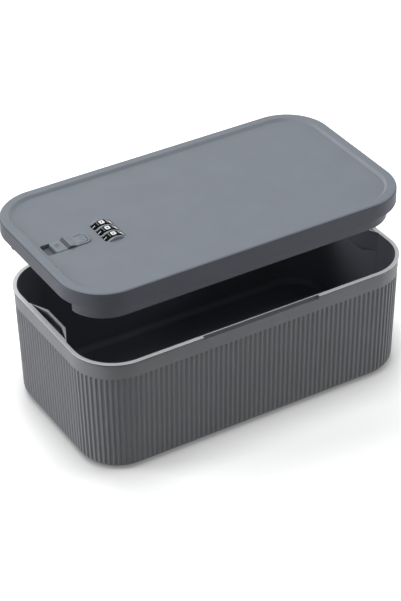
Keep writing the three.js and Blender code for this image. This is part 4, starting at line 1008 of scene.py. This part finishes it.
def make_number(value, place):
    """A number laid on the flat at its place on the wheel."""
    if value == 0:
        return to_flat(make_zero(), place)
    if value == 1:
        return to_flat(make_one(), place)
    curve = bpy.data.curves.new("number", "FONT")
    curve.body = str(value)
    curve.align_x = "CENTER"
    curve.align_y = "CENTER"
    curve.size = 6.0
    curve.offset = NUMBER_BOLD
    curve.extrude = NUMBER_RAISED
    curve.resolution_u = 4
    text = bpy.data.objects.new("number", curve)
    bpy.context.scene.collection.objects.link(text)
    graph = bpy.context.evaluated_depsgraph_get()
    mesh = bpy.data.meshes.new_from_object(text.evaluated_get(graph))
    bpy.data.objects.remove(text)
    xs = [v.co.x for v in mesh.vertices]
    ys = [v.co.y for v in mesh.vertices]
    middle = ((min(xs) + max(xs)) / 2, (min(ys) + max(ys)) / 2)
    tall = NUMBER_TALL / (max(ys) - min(ys))
    wide = NUMBER_WIDE / max(max(xs) - min(xs), NUMBER_NARROWEST)
    mesh.transform(Matrix.Translation((-middle[0], -middle[1], 0)))
    mesh.transform(Matrix.Diagonal((wide, tall, 1, 1)))
    return to_flat(mesh, place)


def make_one():
    """Plain thin bar."""
    piece = box(
        (-ONE_WIDE / 2, -ONE_TALL / 2, -NUMBER_RAISED), (ONE_WIDE / 2, ONE_TALL / 2, NUMBER_RAISED)
    )
    mesh = piece.data
    bpy.data.objects.remove(piece)
    mesh.transform(Matrix.Scale(1 / MM, 4))
    return mesh


def to_flat(mesh, place):
    """Turns a number's top to +X and its right side to -Y, then takes it round to its flat."""
    mesh.transform(Matrix.Rotation(-math.pi / 2, 4, "Z"))
    mesh.transform(Matrix.Translation((0, 0, DIAL_RADIUS - DIAL_FLAT_DEPTH)))
    mesh.transform(Matrix.Rotation(-place * 2 * math.pi / DIAL_FLATS, 4, "Y"))
    mesh.transform(Matrix.Scale(MM, 4))
    return mesh


def make_zero():
    """Block-shaped zero with a small eye."""
    loops = []
    for half_x, half_y, radius in (
        (ZERO_WIDE / 2, ZERO_TALL / 2, ZERO_CORNER), (ZERO_EYE_X, ZERO_EYE_Y, ZERO_EYE_CORNER),
    ):
        loops.append(outline(half_x, half_y, radius, 6))
    count = len(loops[0])
    points = [(x, y, z) for z in (-NUMBER_RAISED, NUMBER_RAISED) for loop in loops for x, y in loop]
    faces = []
    for k in range(count):
        after = (k + 1) % count
        low_out, low_in, top_out, top_in = (k + n * count for n in range(4))
        turn = after - k
        faces.append((top_out, top_out + turn, top_in + turn, top_in))
        faces.append((low_in, low_in + turn, low_out + turn, low_out))
        faces.append((low_out, low_out + turn, top_out + turn, top_out))
        faces.append((top_in, top_in + turn, low_in + turn, low_in))
    piece = mesh_object("zero", points, faces)
    mesh = piece.data
    bpy.data.objects.remove(piece)
    mesh.transform(Matrix.Scale(1 / MM, 4))
    return mesh


def paint_ridges(wheel, y):
    """Paints a highlight on the ridges between the flats."""
    wheel.data.materials.append(DIAL_RIDGE_HIGHLIGHT)
    axis = (Vector(LID_PLACE) + Vector((DIAL_X, y, DIAL_Z))) * MM
    for face in wheel.data.polygons:
        away = face.center - axis
        reach = math.hypot(away.x, away.z) / MM
        on_ridge = reach > DIAL_RADIUS - RIDGE_ZONE
        face.material_index = int(on_ridge and abs(away.y) < (DIAL_HALF - RIDGE_END) * MM)


dial_mesh = make_dial_ring().data
number_meshes = [make_number(k, k) for k in range(DIAL_FLATS)]


numbers = bmesh.new()
for mesh in number_meshes:
    numbers.from_mesh(mesh)
numbers_mesh = bpy.data.meshes.new("numbers")
numbers.to_mesh(numbers_mesh)
numbers.free()

for index, y in enumerate(DIAL_ROW, 1):
    wheel = bpy.data.objects.new(f"dial_{index}", dial_mesh.copy())
    digits = bpy.data.objects.new(f"dial_{index}_numbers", numbers_mesh.copy())
    for piece, material in ((wheel, DIAL), (digits, INK)):
        bpy.context.scene.collection.objects.link(piece)
        piece.data.transform(Matrix.Translation(Vector((DIAL_X, y, DIAL_Z)) * MM))
        to_lid(piece)
        piece.data.materials.clear()
        piece.data.materials.append(material)
        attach(piece, f"dial_{index}")
    paint_ridges(wheel, y)
    tidy_mesh(wheel, 25)
    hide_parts(f"dial_wheel_{index}")


# Base screws with cross recesses

# Radius and height, from the domed head to the point; the cross is cut in the head
SCREW_PROFILE = (
    (0.1, -1.6), (1.7, -1.6), (2.2, -1.45), (2.52, -1.1), (2.6, -0.7), (2.6, -0.08), (2.52, 0),
    (1.25, 0), (1.25, 13.6), (0.9, 14.6), (0.1, 16),
)
CROSS_REACH = 1.5
CROSS_HALF = 0.32
CROSS_Z = (-2.6, -0.5)
SCREW_SEAT = -10.6


def make_screw():
    screw = loft("screw", [at_height(circle(0, 0, radius, 32), z) for radius, z in SCREW_PROFILE])
    arms = [
        box((-x, -y, CROSS_Z[0]), (x, y, CROSS_Z[1]))
        for x, y in ((CROSS_REACH, CROSS_HALF), (CROSS_HALF, CROSS_REACH))
    ]
    carve(screw, "DIFFERENCE", arms)
    return screw


screw_mesh = make_screw().data
for index in range(1, 7):
    low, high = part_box(f"base_screw_{index}")
    screw = bpy.data.objects.new(f"screw_{index}", screw_mesh.copy())
    bpy.context.scene.collection.objects.link(screw)
    middle = (low + high) / 2
    screw.data.transform(Matrix.Translation((middle.x, middle.y, (LID_PLACE[2] + SCREW_SEAT) * MM)))
    tidy_mesh(screw, 30)
    screw.data.materials.clear()
    screw.data.materials.append(ZINC)
    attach(screw, "lid")
    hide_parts(f"base_screw_{index}")

for name in ("dial", "screw"):
    bpy.data.objects.remove(bpy.data.objects[name])


# Reset spring, which the lever presses against the case's cheek

SPRING_WIRE = 0.25
SPRING_COIL = 2.75
SPRING_TURNS = 5


def make_spring(start, end):
    """Coil about the spindle's axis, between two places along it."""
    steps = SPRING_TURNS * 24
    first = start + SPRING_WIRE
    rise = end - start - 2 * SPRING_WIRE
    rings = []
    for k in range(steps + 1):
        angle = 2 * math.pi * SPRING_TURNS * k / steps
        out = Vector((math.cos(angle), 0, math.sin(angle)))
        along = Vector((-out.z, rise / (2 * math.pi * SPRING_TURNS * SPRING_COIL), out.x)).normalized()
        across = along.cross(out)
        middle = Vector((DIAL_X, first + rise * k / steps, DIAL_Z)) + out * SPRING_COIL
        rings.append([
            tuple(middle + (out * c + across * s) * SPRING_WIRE) for c, s in circle(0, 0, 1, 12)
        ])
    return loft("spring", rings)


spring_low, spring_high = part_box("reset_spring")
spring = to_lid(make_spring(spring_low.y / MM, spring_high.y / MM))
tidy_mesh(spring, 60)
spring.data.materials.append(STEEL)
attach(spring, "lid")
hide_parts("reset_spring")
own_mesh(spring)


# Pieces of the lock that keep their CAD shapes

KEPT = {
    "lock_case": CASE, "reset_lever": CASE,
    "detent_spring": STEEL,
    "bolt_bar_left": ZINC, "bolt_bar_right": ZINC, "pinion_pin": ZINC, "dial_spindle": ZINC,
    "bolt_pinion": BRASS, "code_sleeve_1": BRASS, "code_sleeve_2": BRASS, "code_sleeve_3": BRASS,
    "case_screw_1": ZINC, "case_screw_2": ZINC, "case_screw_3": ZINC,
    "slider_screw_1": ZINC, "slider_screw_2": ZINC,
}
for name, material in KEPT.items():
    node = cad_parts[name]
    node.data.materials.clear()
    node.data.materials.append(material)


# Floor, light and view

def white_for_view(tree, shader, white_socket, strength=1.0):
    """Mixes a shader with plain white for what the camera and reflections see."""
    link = tree.links.new
    path = node_of(tree, "ShaderNodeLightPath")
    total = node_of(tree, "ShaderNodeMath", operation="MAXIMUM")
    seen = node_of(tree, "ShaderNodeMath", operation="MAXIMUM")
    link(path.outputs["Is Camera Ray"], total.inputs[0])
    link(path.outputs["Is Glossy Ray"], total.inputs[1])
    link(total.outputs[0], seen.inputs[0])
    link(path.outputs["Is Transmission Ray"], seen.inputs[1])
    mix = node_of(tree, "ShaderNodeMixShader")
    link(seen.outputs[0], mix.inputs["Fac"])
    link(shader, mix.inputs[1])
    link(white_socket, mix.inputs[2])
    return mix.outputs[0]


FLOOR_HALF = 4.0
FLOOR_GREY = 0.25
FLOOR_WHITE = 1.4
FLOOR_GLOW = 0.18
CONTACT_REACH = 0.036
FLOOR_Z = -0.0002

floor_mesh = bpy.data.meshes.new("floor")
floor_mesh.from_pydata(
    [(-FLOOR_HALF, -FLOOR_HALF, FLOOR_Z), (FLOOR_HALF, -FLOOR_HALF, FLOOR_Z),
     (FLOOR_HALF, FLOOR_HALF, FLOOR_Z), (-FLOOR_HALF, FLOOR_HALF, FLOOR_Z)],
    [], [(0, 1, 2, 3)],
)
floor = bpy.data.objects.new("floor", floor_mesh)
bpy.context.scene.collection.objects.link(floor)
paper = bpy.data.materials.new("white floor")
paper.use_nodes = True
tree = paper.node_tree
tree.nodes.remove(tree.nodes["Principled BSDF"])
grey = node_of(tree, "ShaderNodeBsdfDiffuse")
grey.inputs["Color"].default_value = (FLOOR_GREY, FLOOR_GREY, FLOOR_GREY, 1)
white = node_of(tree, "ShaderNodeBsdfDiffuse")
# An occlusion node darkens the floor's white within CONTACT_REACH of the tub: a painted contact shadow
painted_contact_shadow = node_of(tree, "ShaderNodeAmbientOcclusion", samples=8)
painted_contact_shadow.inputs["Color"].default_value = (FLOOR_WHITE, FLOOR_WHITE, FLOOR_WHITE, 1)
painted_contact_shadow.inputs["Distance"].default_value = CONTACT_REACH
tree.links.new(painted_contact_shadow.outputs["Color"], white.inputs["Color"])
glow = node_of(tree, "ShaderNodeEmission")
glow.inputs["Strength"].default_value = FLOOR_GLOW
both = node_of(tree, "ShaderNodeAddShader")
tree.links.new(white.outputs[0], both.inputs[0])
tree.links.new(glow.outputs[0], both.inputs[1])
tree.links.new(
    white_for_view(tree, grey.outputs[0], both.outputs[0]),
    tree.nodes["Material Output"].inputs["Surface"],
)
floor.data.materials.append(paper)
floor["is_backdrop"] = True

AMBIENT = 0.09
world = bpy.data.worlds.new("studio")
bpy.context.scene.world = world
world.use_nodes = True
tree = world.node_tree
sky = tree.nodes["Background"]
sky.inputs["Color"].default_value = (0.95, 0.98, 1, 1)
sky.inputs["Strength"].default_value = AMBIENT
white = node_of(tree, "ShaderNodeBackground")
white.inputs["Strength"].default_value = 1.0
white.inputs["Color"].default_value = (1, 1, 1, 1)
tree.links.new(
    white_for_view(tree, sky.outputs[0], white.outputs[0]),
    tree.nodes["World Output"].inputs["Surface"],
)


def lamp(name, direction, distance, size, power):
    """Square area lamp that points at the middle of the object."""
    light = bpy.data.lights.new(name, "AREA")
    light.size = size
    light.energy = power
    body = bpy.data.objects.new(name, light)
    bpy.context.scene.collection.objects.link(body)
    away = Vector(direction).normalized()
    body.location = Vector((0, 0, 0.1)) + away * distance
    body.rotation_euler = away.to_track_quat("Z", "Y").to_euler()


LAMPS = (
    ("key lamp", (-0.3, -0.22, 1), 3.0, 1.2, 26),
    ("back lamp", (0.1, 0.7, 1), 3.0, 2.0, 38),
    ("right lamp", (1, -0.45, 0.25), 0.9, 0.6, 3.6),
    ("left lamp", (-1, 0.5, 0.25), 3.0, 1.2, 48),
    ("front lamp", (-0.8, -0.6, 0.35), 3.0, 1.0, 4),
)
for settings in LAMPS:
    lamp(*settings)

camera_data = bpy.data.cameras.new("view")
camera_data.sensor_width = SENSOR
camera_data.lens = FOCAL_PIXELS * SENSOR / IMAGE_HEIGHT
camera_data.shift_x = -(CENTRE_X - IMAGE_WIDTH / 2) / IMAGE_HEIGHT
camera_data.shift_y = (CENTRE_Y - IMAGE_HEIGHT / 2) / IMAGE_HEIGHT
camera_data.clip_start = 0.05
camera = bpy.data.objects.new("view", camera_data)
bpy.context.scene.collection.objects.link(camera)
back = Vector((
    math.sin(VIEW_AZIMUTH) * math.cos(VIEW_ELEVATION),
    -math.cos(VIEW_AZIMUTH) * math.cos(VIEW_ELEVATION),
    math.sin(VIEW_ELEVATION),
))
level = Vector((math.cos(VIEW_AZIMUTH), math.sin(VIEW_AZIMUTH), 0))
upright = back.cross(level)
right = level * math.cos(VIEW_ROLL) + upright * math.sin(VIEW_ROLL)
up = upright * math.cos(VIEW_ROLL) - level * math.sin(VIEW_ROLL)
eye = Vector((0, 0, VIEW_HEIGHT)) + back * VIEW_DISTANCE
camera.matrix_world = Matrix((
    (right.x, up.x, back.x, eye.x),
    (right.y, up.y, back.y, eye.y),
    (right.z, up.z, back.z, eye.z),
    (0, 0, 0, 1),
))
bpy.context.scene.camera = camera
bpy.context.scene.view_settings.view_transform = "Standard"

bpy.context.view_layer.update()
low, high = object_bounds()
